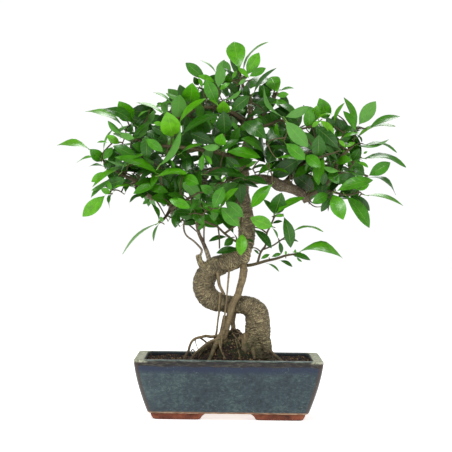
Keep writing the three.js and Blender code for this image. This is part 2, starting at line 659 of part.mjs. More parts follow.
// The stems of each bough, as limbs, and the sprays that fill it: how many, and the middle and reach of the
// space that they fill.
const boughs = {
  crown_top: {
    stems: [[[26, 0, 402, 3], [22, -4, 418, 2.2], [16, -8, 430, 1.8], [12, -4, 446, 1.4]]],
    fill: { sprays: 1, middle: [10, 6, 418], reach: [34, 34, 22] },
  },
  crown_right: {
    stems: [[[25, 1, 376, 3], [44, -2, 392, 2.4], [56, -4, 408, 1.8], [60, 0, 420, 1.4]]],
    fill: { sprays: 1, middle: [48, 12, 400], reach: [28, 36, 20] },
  },
  crown_left: {
    stems: [[[25, 1, 380, 3.2], [0, -12, 394, 2.8], [-34, -24, 398, 2.2], [-66, -28, 384, 1.6]]],
    fill: { sprays: 2, middle: [-40, -4, 392], reach: [44, 36, 24] },
  },
  left_upper: {
    stems: [
      [[19, 0, 330, 3.6], [-20, -18, 342, 3], [-60, -28, 346, 2.6], [-98, -26, 350, 2.2], [-134, -14, 362, 1.6]],
    ],
    fill: { sprays: 2, middle: [-90, -14, 350], reach: [62, 34, 26] },
  },
  left_outer: {
    stems: [
      [[-97, -4, 282, 3], [-116, -10, 300, 2.6], [-140, -10, 312, 2.2], [-162, -6, 326, 1.6]],
      [[-140, -10, 312, 1.6], [-150, -10, 296, 1.4], [-154, -9, 286, 1.1]],
    ],
    fill: { sprays: 2, middle: [-120, -8, 312], reach: [38, 36, 20] },
  },
  left_lower: {
    stems: [
      [[-76, -2, 266, 2.2], [-82, -10, 256, 1.8], [-90, -18, 250, 1.3]],
      [[-76, -2, 266, 2.2], [-60, -26, 276, 2], [-40, -44, 288, 1.5]],
    ],
    fill: { sprays: 1, middle: [-62, -18, 284], reach: [26, 24, 14] },
  },
  middle_low: {
    stems: [
      [
        [18, -6, 224, 1.8], [6.7, -16, 228, 1.6], [-4.6, -22, 236.4, 1.5], [-15, -28, 245.6, 1.4],
        [-26, -34, 250, 1.4], [-34, -38, 256, 1.3], [-26, -44, 270, 1.2],
      ],
      [[-4.6, -22, 236.4, 1.5], [8, -34, 246, 1.4], [16, -38, 252, 1.2]],
      [[-13, -27, 243.8, 1.1], [-11.5, -24, 232, 1.1], [-11, -22, 217, 1]],
    ],
    fill: { sprays: 1, middle: [-28, -22, 268], reach: [24, 22, 12] },
  },
  middle_front: {
    stems: [[[16, -4, 308, 2.8], [2, -22, 316, 2.2], [-16, -36, 320, 1.8], [-32, -42, 312, 1.4]]],
    fill: { sprays: 2, middle: [-28, -16, 312], reach: [36, 26, 22] },
  },
  right_upper: {
    stems: [
      [
        [23, 1, 362, 3], [40, -8, 374, 2.4], [52, -16, 378, 2], [66, -26, 383, 1.6], [88, -34, 372, 1.5],
        [108, -44, 376, 1.2],
      ],
      [[88, -34, 372, 1.5], [104, -48, 352, 1.4], [112, -54, 334, 1.2]],
    ],
    fill: { sprays: 2, middle: [92, -12, 362], reach: [38, 34, 22] },
  },
  right_outer: {
    stems: [
      [[99, 0, 285, 3.2], [120, -10, 296, 2.8], [134, -16, 314, 2.6], [142, -18, 334, 2.2], [160, -14, 352, 1.8]],
      [[120, -10, 296, 2], [136, -26, 291, 1.6], [152, -24, 288, 1.3], [170, -12, 292, 1.1]],
      [[134, -16, 314, 2], [160, -10, 318, 1.6], [180, -6, 313, 1.3]],
    ],
    fill: { sprays: 2, middle: [134, -8, 338], reach: [36, 34, 26] },
  },
  right_low: {
    stems: [
      [
        [19, -4, 196, 2.4], [27, -6, 195.4, 2.2], [38.5, -7, 198, 2], [49.7, -7, 201.5, 1.9], [63, -7, 204.6, 1.7],
        [75, -8, 208.7, 1.5], [88, -8, 211, 1.2],
      ],
      [
        [38.5, -7, 199, 1.6], [42.6, -9, 213, 1.5], [48.7, -11, 222, 1.4], [50, -13, 237.4, 1.3], [54, -15, 246, 1.2],
        [60, -17, 260, 1.1],
      ],
      [[45, -10, 216, 1.1], [58, -11, 221.5, 1], [66, -11, 227, 1], [84, -12, 240, 0.9]],
    ],
  },
  right_inner: {
    stems: [
      [[60, 0, 303, 3], [66, 6, 318, 2.4], [74, 10, 334, 2], [80, 14, 350, 1.6]],
      [[60, 0, 303, 2], [58, -16, 304, 1.6], [56, -32, 301, 1.2]],
    ],
    fill: { sprays: 3, middle: [82, 20, 342], reach: [30, 24, 18] },
  },
  crown_back: {
    stems: [[[25, 3, 366, 3], [14, 28, 384, 2.6], [-4, 44, 398, 2], [-24, 50, 404, 1.6]]],
    fill: { sprays: 6, middle: [0, 38, 404], reach: [46, 34, 24] },
  },
  left_back: {
    stems: [
      [[-40, 7, 298, 3.4], [-62, 28, 312, 3], [-86, 46, 324, 2.4], [-108, 54, 336, 1.8]],
      [[-62, 28, 312, 2], [-90, 34, 300, 1.8], [-122, 34, 304, 1.4]],
    ],
    fill: { sprays: 8, middle: [-84, 46, 328], reach: [60, 36, 34] },
  },
  middle_back: {
    stems: [[[17, 4, 318, 3], [0, 28, 322, 2.6], [-18, 44, 316, 2], [-26, 52, 298, 1.6]]],
    fill: { sprays: 5, middle: [-20, 44, 304], reach: [34, 30, 32] },
  },
  right_back: {
    stems: [
      [[70, 1, 300, 3.4], [86, 26, 318, 3], [104, 44, 336, 2.4], [124, 50, 352, 1.8]],
      [[86, 26, 318, 2], [112, 32, 312, 1.8], [138, 30, 314, 1.4]],
    ],
    fill: { sprays: 8, middle: [108, 44, 342], reach: [52, 36, 32] },
  },
};

// The crown is open where daylight shows through it from front to back: [x, z, radius].
const openings = [
  [35, 357, 12], [51, 369, 7], [3, 364, 5], [27, 317, 8], [42, 331, 7], [27, 283, 10], [44, 275, 14], [60, 288, 12],
  [85, 288, 15], [104, 266, 14], [-48, 338, 4], [24, 396, 4],
];
const fillLimits = { left: -168, right: 188, top: 452, fallOff: 0.0033, bottom: 246, front: -66, back: 108 };

const sprayLeaves = [3, 5]; // fewest and most leaves of a spray
const fillLength = [28, 44];
const fillProportion = [0.38, 0.5];
const ribShares = [0.4, 0.7, 1]; // where along a blade its distance from other leaves is taken
const leafClearance = 9;

// The same numbers on every run, each from 0 up to 1.
function randomFrom(seed) {
  let state = seed;
  return () => {
    state = (state + 0x6d2b79f5) | 0;
    let t = Math.imul(state ^ (state >>> 15), 1 | state);
    t = (t + Math.imul(t ^ (t >>> 7), 61 | t)) ^ t;
    return ((t ^ (t >>> 14)) >>> 0) / 4294967296;
  };
}

function anyDirection(random) {
  const z = 2 * random() - 1;
  const turn = 2 * Math.PI * random();
  const ring = Math.sqrt(1 - z * z);
  return new THREE.Vector3(ring * Math.cos(turn), ring * Math.sin(turn), z);
}

// A leaf that was set by hand. A blade that shows short for its width leans to the front, or to the back
// if it grows there, and one that shows narrow is seen on its edge.
function setLeaf([footX, footZ, tipX, tipZ, width, y, arch = archShare]) {
  const across = tipX - footX;
  const up = tipZ - footZ;
  const shown = Math.hypot(across, up);
  const length = Math.max(shown, width / (bladeProportion + 0.08));
  const lean = Math.sqrt(length * length - shown * shown) * (y < 0 ? -1 : 1);
  const trueWidth = Math.max(width, bladeProportion * length);
  const facing = Math.min(1, width / trueWidth);
  const flip = across < 0 ? -1 : 1;
  const edge = new THREE.Vector3((-up / shown) * flip, 0, (across / shown) * flip);
  const face = edge.multiplyScalar(Math.sqrt(1 - facing * facing)).add(new THREE.Vector3(0, -facing, 0));
  return {
    foot: new THREE.Vector3(footX, y - lean / 2, footZ),
    tip: new THREE.Vector3(tipX, y + lean / 2, tipZ),
    face,
    width: trueWidth,
    arch,
  };
}

function clearOfOpenings(leaf) {
  const middle = leaf.foot.clone().add(leaf.tip).multiplyScalar(0.5);
  return [leaf.foot, middle, leaf.tip].every((p) => {
    const inside =
      p.x > fillLimits.left &&
      p.x < fillLimits.right &&
      p.y > fillLimits.front &&
      p.y < fillLimits.back &&
      p.z > fillLimits.bottom &&
      p.z < fillLimits.top - fillLimits.fallOff * p.x * p.x;
    return inside && openings.every(([x, z, r]) => Math.hypot(p.x - x, p.z - z) > r + leaf.width * 0.3);
  });
}

const ribPoints = (leaf) => ribShares.map((share) => leaf.foot.clone().lerp(leaf.tip, share));

function filledLeaves({ sprays, middle, reach }, seed, ribs) {
  const random = randomFrom(seed);
  const between = (low, high) => low + (high - low) * random();
  const leaves = [];
  for (let i = 0; i < sprays; i++) {
    const out = anyDirection(random);
    const depth = between(0.5, 0.95);
    const bud = vec(middle).add(new THREE.Vector3(...reach).multiply(out).multiplyScalar(depth));
    const count = Math.floor(between(sprayLeaves[0], sprayLeaves[1] + 1));
    for (let j = 0; j < count; j++) {
      const along = anyDirection(random).multiplyScalar(0.9).addScaledVector(out, 0.5);
      along.add(new THREE.Vector3(0, 0, 0.15)).normalize();
      const length = between(...fillLength);
      const face = anyDirection(random).multiplyScalar(0.4).addScaledVector(out, 0.5);
      face.add(new THREE.Vector3(0, 0, 0.8));
      const leaf = {
        foot: bud.clone().addScaledVector(along, 4),
        tip: bud.clone().addScaledVector(along, 4 + length),
        face,
        width: length * between(...fillProportion),
        arch: between(0.05, 0.14),
      };
      const own = ribPoints(leaf);
      const clear = own.every((p) => ribs.every((q) => p.distanceTo(q) > leafClearance));
      if (!clear || !clearOfOpenings(leaf)) continue;
      leaves.push(leaf);
      ribs.push(...own);
    }
  }
  return leaves;
}

function nearest(buds, p) {
  return buds.reduce((best, bud) => (bud.distanceTo(p) < best.distanceTo(p) ? bud : best));
}

// Buds between the points of a stem, and close to its end.
function budsAlong(stems) {
  return stems.flatMap((stem) => {
    const spans = stem.slice(1).map((point, i) => [vec(stem[i]), vec(point)]);
    return spans.flatMap(([from, to]) => budShares.map((share) => from.clone().lerp(to, share)));
  });
}

const stemsOf = (bough, grow) => joined(bough.stems.map((stem) => limbOf(stem, 5, 1, grow)));

// Grows the leaves of a bough on its stems, nearest first. Each leaf springs from the nearest bud, or from a
// twig of its own if that is too far off, and makes new buds there. A leaf that would touch another bough
// moves to the front or back by as little as clears it, and one that finds no room is left out.
function growBough(bough, leaves, others) {
  const buds = budsAlong(bough.stems);
  const solids = [stemsOf(bough, 0)];
  const grown = [stemsOf(bough, gap)];
  const distance = (leaf) => nearest(buds, leaf.foot).distanceTo(leaf.foot);
  const order = leaves.map((leaf) => ({ leaf, far: distance(leaf) })).sort((p, q) => p.far - q.far);
  for (const { leaf } of order) {
    for (const shift of leafShifts) {
      const foot = leaf.foot.clone().add(new THREE.Vector3(0, shift, 0));
      const tip = leaf.tip.clone().add(new THREE.Vector3(0, shift, 0));
      const bud = nearest(buds, foot);
      const far = bud.distanceTo(foot);
      const make = (grow) => {
        if (far <= twigReach) return blade({ ...leaf, foot: bud, tip }, grow);
        const end = foot.clone().addScaledVector(foot.clone().sub(bud).normalize(), twigOverrun);
        return blade({ ...leaf, foot, tip }, grow).add(twig(bud, end, twigRadius, grow));
      };
      if (!make(gap).intersect(others).isEmpty()) continue;
      solids.push(make(0));
      grown.push(make(gap));
      const steps = far > twigReach ? Math.ceil(far / stemStep) : 0;
      for (let i = 1; i <= steps; i++) buds.push(bud.clone().lerp(foot, i / steps));
      break;
    }
  }
  return { solid: joined(solids), grown: joined(grown) };
}

// ---------------------------------------------------------------- assembly

const limbOf = (line, sides, steps, grow) =>
  limb(line, line.map((p) => p[3]), sides, steps, grow);

// The space that is already taken by the pieces so far, each with the gap round it.
let taken = null;

function addGrown(name, make, finish) {
  const solid = taken ? largestBody(make(0).subtract(taken)) : make(0);
  taken = taken ? taken.add(make(gap)) : make(gap);
  add(name, solid, finish);
}

const makeTrunk = (grow) =>
  joined([
    limbOf(trunkLine, 10, 1, grow),
    limbOf(cutStub, 6, 1, grow),
    limbOf(rootFlare, 6, 1, grow),
    limbOf(backFlare, 6, 1, grow),
  ]);

addGrown("trunk", makeTrunk, "bark");
for (const [name, line] of Object.entries(rootLines)) {
  addGrown(name, (grow) => limbOf(line, 5, 1, grow), "root");
}
const rootsAndTrunk = taken;
for (const [name, line] of Object.entries(branchLines)) {
  const extra = { branch_left: leftBranchStub, riser: riserFork }[name];
  const make = (grow) => {
    const main = limbOf(line, 7, 1, grow);
    return extra ? main.add(limbOf(extra, 6, 1, grow)) : main;
  };
  addGrown(name, make, "bark");
}

const setByBough = Object.fromEntries(Object.entries(setLeaves).map(([name, rows]) => [name, rows.map(setLeaf)]));
const ribs = Object.values(setByBough).flat().flatMap(ribPoints);
const boughEntries = Object.entries(boughs);
const room = boughEntries.map(([, bough]) => stemsOf(bough, gap));
boughEntries.forEach(([name, bough], i) => {
  const leaves = setByBough[name] || [];
  if (bough.fill) leaves.push(...filledLeaves(bough.fill, 1201 + 37 * i, ribs));
  const others = joined([taken, ...room.filter((_, j) => j !== i)]);
  const { solid, grown } = growBough(bough, leaves, others);
  add("leafy_bough_" + name, largestBody(solid.subtract(others)), "leaf");
  room[i] = grown;
});

const place = (solid) => solid.translate([potShift, 0, 0]);
add("pot", place(makePot()), "glaze");
for (const [side, signX] of [["left", -1], ["right", 1]]) {
  for (const [end, signY] of [["front", -1], ["back", 1]]) {
    add("foot_" + end + "_" + side, place(makeFoot(signX, signY)), "clay");
  }
}
const drainPieces = [];
for (const [side, sign] of [["left", -1], ["right", 1]]) {
  const x = (sign * drainSpacing) / 2;
  add("drain_mesh_" + side, place(makeMesh(x)), "plastic");
  add("mesh_clip_" + side, place(makeClip(x)), "wire");
  const half = meshSide / 2 + gap;
  const top = floorTop + 2 * gap + meshThickness + 2 * wireRadius + gap;
  drainPieces.push(box([x - half, -half, floorTop - 1], [x + half, half, top]));
}
add("drainage_grit", place(makeGrit(joined(drainPieces))), "grit");
add("soil", largestBody(place(makeSoil()).subtract(rootsAndTrunk)), "soil");

// The frame: the origin is below the middle of the whole, on the table.
const bounds = new THREE.Box3().setFromObject(group);
const middle = bounds.getCenter(new THREE.Vector3());
group.position.set(-middle.x, -middle.y, -bounds.min.z);

export default group;
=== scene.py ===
# A trained fig (ficus) tree in a shallow glazed pot, finished in full detail. Lengths are in millimetres
# until a piece is put in its place. The front of the tree is towards -Y.
import json
import math
import random

import bmesh
import bpy
from mathutils import Matrix, Vector, noise
from mathutils.kdtree import KDTree

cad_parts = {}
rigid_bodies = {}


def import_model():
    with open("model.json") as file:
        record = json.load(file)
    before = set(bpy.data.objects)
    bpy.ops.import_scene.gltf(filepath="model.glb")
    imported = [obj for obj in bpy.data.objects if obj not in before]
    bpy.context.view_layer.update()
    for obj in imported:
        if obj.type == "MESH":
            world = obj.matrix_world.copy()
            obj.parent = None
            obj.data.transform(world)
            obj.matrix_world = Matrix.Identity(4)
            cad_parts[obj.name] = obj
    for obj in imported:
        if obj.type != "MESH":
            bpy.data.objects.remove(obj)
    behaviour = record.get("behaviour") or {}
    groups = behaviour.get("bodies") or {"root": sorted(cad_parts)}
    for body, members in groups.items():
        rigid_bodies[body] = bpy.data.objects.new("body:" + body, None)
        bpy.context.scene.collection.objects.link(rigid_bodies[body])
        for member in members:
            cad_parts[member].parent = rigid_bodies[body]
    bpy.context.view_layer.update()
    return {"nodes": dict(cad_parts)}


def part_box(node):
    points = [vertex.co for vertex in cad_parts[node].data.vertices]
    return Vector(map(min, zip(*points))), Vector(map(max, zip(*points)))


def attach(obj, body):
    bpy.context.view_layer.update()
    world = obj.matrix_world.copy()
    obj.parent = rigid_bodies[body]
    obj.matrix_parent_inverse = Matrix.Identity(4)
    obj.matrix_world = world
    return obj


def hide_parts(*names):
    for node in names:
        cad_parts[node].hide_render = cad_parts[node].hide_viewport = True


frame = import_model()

# ---------------------------------------------------------------- sizes

POT_SHIFT = 2.5  # the pot's middle, right of the plumb line below the crown
pot_low, pot_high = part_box("pot")
POT_LENGTH = (pot_high.x - pot_low.x) * 1000
POT_DEPTH = (pot_high.y - pot_low.y) * 1000
RIM_HEIGHT = pot_high.z * 1000
FOOT_HEIGHT = pot_low.z * 1000
POT_TAPER = 18
BOW_POWER = 1.5
RIM_CORNER = 10
WELL_CORNER = 7
WALL_THICKNESS = 8
FLOOR_THICKNESS = 8
LIP_WIDTH = 13
LIP_THICKNESS = 6
DRAIN_RADIUS = 11
DRAIN_SPACING = 104
GAP = 0.3
SOIL_TOP = RIM_HEIGHT - 4
MOUND = (2, 0, 46, 37, 15)  # middle, half length, half depth and height of the mound round the trunk
HEAPS = [(13, 1, 19, 18, 24), (-20, -9, 20, 15, 12)]  # the same for two heaps on top of the mound

ORIGIN = Vector(((pot_low.x + pot_high.x) * 500 - POT_SHIFT, (pot_low.y + pot_high.y) * 500, 0))


def placed(p):
    """A point of the tree, in metres in the row frame."""
    return (Vector(p) + ORIGIN) / 1000


# ---------------------------------------------------------------- finishes


class Value:
    """A socket of a finish. Arithmetic on it adds Math nodes."""

    def __init__(self, finish, socket):
        self.finish = finish
        self.socket = socket

    def math(self, operation, *values):
        return self.finish.node("ShaderNodeMath", {"operation": operation}, dict(enumerate(values)))

    def __add__(self, other):
        return self.math("ADD", self, other)

    def __radd__(self, other):
        return self.math("ADD", other, self)

    def __sub__(self, other):
        return self.math("SUBTRACT", self, other)

    def __rsub__(self, other):
        return self.math("SUBTRACT", other, self)

    def __mul__(self, other):
        return self.math("MULTIPLY", self, other)

    def __rmul__(self, other):
        return self.math("MULTIPLY", other, self)

    def __truediv__(self, other):
        return self.math("DIVIDE", self, other)

    def __rtruediv__(self, other):
        return self.math("DIVIDE", other, self)

    def __gt__(self, other):
        return self.math("GREATER_THAN", self, other)

    def sine(self):
        return self.math("SINE", self)

    def size(self):
        return self.math("ABSOLUTE", self)

    def limited(self):
        return self.finish.node("ShaderNodeClamp", {}, {"Value": self})

    def smooth(self, low, high):
        """0 below low, 1 above high, and a smooth rise between them."""
        settings = {"interpolation_type": "SMOOTHSTEP"}
        return self.finish.node(
            "ShaderNodeMapRange", settings, {"Value": self, 1: low, 2: high, 3: 0.0, 4: 1.0},
        )


class Finish:
    """A material with one Principled shader."""

    def __init__(self, name):
        self.material = bpy.data.materials.new(name)
        self.material.use_nodes = True
        self.tree = self.material.node_tree
        self.shader = self.tree.nodes["Principled BSDF"]

    def node(self, kind, settings, inputs, output=0):
        made = self.tree.nodes.new(kind)
        for key, value in settings.items():
            if key == "stops":
                self.set_stops(made.color_ramp, value)
            else:
                setattr(made, key, value)
        for key, value in inputs.items():
            self.feed(made.inputs[key], value)
        return Value(self, made.outputs[output])

    def set_stops(self, ramp, stops):
        while len(ramp.elements) < len(stops):
            ramp.elements.new(0.5)
        for element, (position, colour) in zip(ramp.elements, stops):
            element.position = position
            element.color = (*colour, 1)

    def feed(self, socket, value):
        if isinstance(value, Value):
            self.tree.links.new(value.socket, socket)
        elif isinstance(value, tuple) and len(value) == 3 and socket.type == "RGBA":
            socket.default_value = (*value, 1)
        else:
            socket.default_value = value

    def place(self, name="Object"):
        return self.node("ShaderNodeTexCoord", {}, {}, name)

    def attribute(self, name, output="Fac"):
        return self.node("ShaderNodeAttribute", {"attribute_name": name}, {}, output)

    def parts(self, vector):
        split = self.tree.nodes.new("ShaderNodeSeparateXYZ")
        self.feed(split.inputs[0], vector)
        return [Value(self, socket) for socket in split.outputs]

    def scaled(self, vector, scale):
        return self.node("ShaderNodeMapping", {}, {"Vector": vector, "Scale": scale})

    def noise(self, vector, scale, detail=3.0, roughness=0.55, distortion=0.0):
        sockets = {
            "Vector": vector, "Scale": scale, "Detail": detail, "Roughness": roughness,
            "Distortion": distortion,
        }
        return self.node("ShaderNodeTexNoise", {}, sockets)

    def cells(self, vector, scale, feature="F1", output="Distance"):
        return self.node(
            "ShaderNodeTexVoronoi", {"feature": feature}, {"Vector": vector, "Scale": scale}, output,
        )

    def ramp(self, value, *stops):
        return self.node("ShaderNodeValToRGB", {"stops": stops}, {"Fac": value})

    def mix(self, share, first, second, blend="MIX"):
        settings = {"data_type": "RGBA", "blend_type": blend, "clamp_factor": True}
        return self.node("ShaderNodeMix", settings, {0: share, 6: first, 7: second}, 2)

    def bump(self, height, distance, strength=1.0):
        return self.node("ShaderNodeBump", {}, {"Height": height, "Distance": distance, "Strength": strength})

    def done(self, colour, roughness, normal=None, **fixed):
        self.feed(self.shader.inputs["Base Color"], colour)
        self.feed(self.shader.inputs["Roughness"], roughness)
        if normal is not None:
            self.feed(self.shader.inputs["Normal"], normal)
        for name, value in fixed.items():
            self.shader.inputs[name.replace("_", " ")].default_value = value
        return self.material

# ---------------------------------------------------------------- shapes


def new_object(name, points, faces, materials, smooth=True):
    """A mesh object from points in millimetres of the tree."""
    mesh = bpy.data.meshes.new(name)
    mesh.from_pydata([placed(p) for p in points], [], faces)
    for material in materials:
        mesh.materials.append(material)
    mesh.polygons.foreach_set("use_smooth", [smooth] * len(mesh.polygons))
    obj = bpy.data.objects.new(name, mesh)
    bpy.context.scene.collection.objects.link(obj)
    return obj


def made_plain(obj):
    """Turns what the object's modifiers make into its plain mesh."""
    bpy.context.view_layer.update()
    graph = bpy.context.evaluated_depsgraph_get()
    mesh = bpy.data.meshes.new_from_object(obj.evaluated_get(graph), depsgraph=graph)
    plain = bpy.data.objects.new(obj.name, mesh)
    name = obj.name
    bpy.data.objects.remove(obj)
    plain.name = name
    bpy.context.scene.collection.objects.link(plain)
    return plain


def with_modifier(obj, kind, **settings):
    modifier = obj.modifiers.new(kind.title(), kind)
    for key, value in settings.items():
        setattr(modifier, key, value)
    return obj


def joined(objects, name):
    with bpy.context.temp_override(active_object=objects[0], selected_editable_objects=objects):
        bpy.ops.object.join()
    objects[0].name = name
    return objects[0]


def finish_piece(obj, slot, *nodes):
    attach(obj, "root")
    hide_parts(*nodes)


def smooth_line(line, step):
    """Points about a step apart on a smooth curve through the line's points, each with its radius."""
    points = [Vector(p[:3]) for p in line]
    radii = [p[3] for p in line]
    around = [2 * points[0] - points[1], *points, 2 * points[-1] - points[-2]]
    made = []
    for i in range(len(points) - 1):
        p = around[i : i + 4]
        t = [0.0]
        for a, b in zip(p, p[1:]):
            t.append(t[-1] + math.sqrt(max((b - a).length, 1e-6)))
        count = max(1, math.ceil((p[2] - p[1]).length / step))
        for k in range(count + (i == len(points) - 2)):
            at = t[1] + (t[2] - t[1]) * k / count
            first = [p[j].lerp(p[j + 1], (at - t[j]) / (t[j + 1] - t[j])) for j in range(3)]
            second = [first[j].lerp(first[j + 1], (at - t[j]) / (t[j + 2] - t[j])) for j in range(2)]
            radius = radii[i] + (radii[i + 1] - radii[i]) * k / count
            made.append((second[0].lerp(second[1], (at - t[1]) / (t[2] - t[1])), radius))
    return made


def tube(line, sides, step):
    """Points and faces of a closed limb along a smooth curve, with a flat cap at each end."""
    rings = smooth_line(line, step)
    points, faces = [], []
    normal = Vector((0.3, -1, 0.2)).normalized()
    for i, (centre, radius) in enumerate(rings):
        before, after = rings[max(i - 1, 0)][0], rings[min(i + 1, len(rings) - 1)][0]
        tangent = (after - before).normalized()
        normal = (normal - tangent * tangent.dot(normal)).normalized()
        across = tangent.cross(normal)
        for k in range(sides):
            turn = 2 * math.pi * k / sides
            points.append(centre + radius * (normal * math.cos(turn) + across * math.sin(turn)))
    for i in range(len(rings) - 1):
        for k in range(sides):
            a, b = i * sides + k, i * sides + (k + 1) % sides
            faces.append((a, b, b + sides, a + sides))
    faces.append(tuple(reversed(range(sides))))
    last = (len(rings) - 1) * sides
    faces.append(tuple(range(last, last + sides)))
    return points, faces


def curve_of(name, lines, step=3):
    """A curve object with one spline along each line."""
    curve = bpy.data.curves.new(name, "CURVE")
    curve.dimensions = "3D"
    for line in lines:
        made = smooth_line(line, step)
        spline = curve.splines.new("POLY")
        spline.points.add(len(made) - 1)
        spline.points.foreach_set("co", [c for p, _ in made for c in (*placed(p), 1)])
        spline.points.foreach_set("radius", [radius / 1000 for _, radius in made])
    obj = bpy.data.objects.new(name, curve)
    bpy.context.scene.collection.objects.link(obj)
    return obj


def merged(shapes):
    """Several shapes' points and faces as one."""
    points, faces = [], []
    for more_points, more_faces in shapes:
        start = len(points)
        points.extend(more_points)
        faces.extend(tuple(start + v for v in face) for face in more_faces)
    return points, faces


def grown_wood(name, lines, voxel, material, sides=14, step=2.5, smoothing=4):
    """Limbs that flow into each other, as one skin."""
    points, faces = merged([tube(line, sides, step) for line in lines])
    obj = new_object(name, points, faces, [material])
    with_modifier(obj, "REMESH", mode="VOXEL", voxel_size=voxel / 1000, use_smooth_shade=True)
    with_modifier(obj, "SMOOTH", factor=0.5, iterations=smoothing)
    return made_plain(obj)


def rounded_outline(half_length, half_depth, corner, corner_steps=8, side_steps=6):
    """The points of a rounded rectangle, anticlockwise as seen from above."""
    outline = []
    for quarter, (sx, sy) in enumerate([(1, 1), (-1, 1), (-1, -1), (1, -1)]):
        cx, cy = sx * (half_length - corner), sy * (half_depth - corner)
        for k in range(corner_steps + 1):
            turn = (quarter + k / corner_steps) * math.pi / 2
            outline.append((cx + corner * math.cos(turn), cy + corner * math.sin(turn)))
    full = []
    for i, (a, b) in enumerate(zip(outline, outline[1:] + outline[:1])):
        steps = side_steps if i % (corner_steps + 1) == corner_steps else 1
        full.extend(
            (a[0] + (b[0] - a[0]) * k / steps, a[1] + (b[1] - a[1]) * k / steps) for k in range(steps)
        )
    return full


def loft(rings, closed_ends=True):
    """Points and faces through rings of points that all have the same count."""
    count = len(rings[0])
    points = [p for ring in rings for p in ring]
    faces = []
    for i in range(len(rings) - 1):
        for k in range(count):
            a, b = i * count + k, i * count + (k + 1) % count
            faces.append((a, b, b + count, a + count))
    if closed_ends:
        faces.append(tuple(reversed(range(count))))
        faces.append(tuple(range((len(rings) - 1) * count, len(rings) * count)))
    return points, faces


# ---------------------------------------------------------------- node trees


class Growth:
    """A geometry node tree with named inputs."""

    def __init__(self, name, sizes):
        self.tree = bpy.data.node_groups.new(name, "GeometryNodeTree")
        face = self.tree.interface
        face.new_socket("Geometry", in_out="INPUT", socket_type="NodeSocketGeometry")
        self.names = {}
        for size, kind in sizes.items():
            socket = face.new_socket(size, in_out="INPUT", socket_type="NodeSocket" + kind)
            self.names[size] = socket.identifier
        face.new_socket("Geometry", in_out="OUTPUT", socket_type="NodeSocketGeometry")
        self.given = self.tree.nodes.new("NodeGroupInput").outputs
        self.result = self.tree.nodes.new("NodeGroupOutput").inputs[0]

    def node(self, kind, settings, inputs, output=0):
        made = self.tree.nodes.new(kind)
        for key, value in settings.items():
            setattr(made, key, value)
        for key, value in inputs.items():
            if isinstance(value, bpy.types.NodeSocket):
                self.tree.links.new(value, made.inputs[key])
            else:
                made.inputs[key].default_value = value
        return made.outputs[output]

    def ends(self, geometry, material):
        whole = self.node("GeometryNodeRealizeInstances", {}, {"Geometry": geometry})
        painted = self.node("GeometryNodeSetMaterial", {}, {"Geometry": whole, "Material": material})
        self.tree.links.new(painted, self.result)

    def applied(self, obj, **values):
        """The plain mesh that the tree makes from the object."""
        modifier = obj.modifiers.new("Growth", "NODES")
        modifier.node_group = self.tree
        for name, value in values.items():
            modifier[self.names[name.replace("_", " ")]] = value
        return made_plain(obj)


def stem_growth():
    """Round stems along curves, as thick as each point's radius."""
    grow = Growth("Stems along curves", {"Sides": "Int", "Bark": "Material"})
    ring = grow.node(
        "GeometryNodeCurvePrimitiveCircle", {}, {"Resolution": grow.given["Sides"], "Radius": 1.0},
    )
    radius = grow.node("GeometryNodeInputRadius", {}, {})
    inputs = {"Curve": grow.given["Geometry"], "Profile Curve": ring, "Scale": radius, "Fill Caps": True}
    mesh = grow.node("GeometryNodeCurveToMesh", {}, inputs)
    mesh = grow.node("GeometryNodeSetShadeSmooth", {}, {"Geometry": mesh})
    grow.ends(mesh, grow.given["Bark"])
    return grow


def leaf_growth():
    """A leaf on each point, turned, sized and picked by the point's attributes."""
    sizes = {"Leaves": "Collection", "Skin": "Material"}
    grow = Growth("Leaves on points", sizes)
    kinds = {"Collection": grow.given["Leaves"], "Separate Children": True, "Reset Children": True}
    shapes = grow.node("GeometryNodeCollectionInfo", {}, kinds)

    def read(name, kind):
        return grow.node("GeometryNodeInputNamedAttribute", {"data_type": kind}, {"Name": name})

    turn = grow.node("FunctionNodeEulerToRotation", {}, {"Euler": read("turn", "FLOAT_VECTOR")})
    points = grow.node("GeometryNodeMeshToPoints", {}, {"Mesh": grow.given["Geometry"]})
    inputs = {
        "Points": points,
        "Instance": shapes,
        "Pick Instance": True,
        "Instance Index": read("kind", "INT"),
        "Rotation": turn,
        "Scale": read("reach", "FLOAT_VECTOR"),
    }
    grow.ends(grow.node("GeometryNodeInstanceOnPoints", {}, inputs), grow.given["Skin"])
    return grow


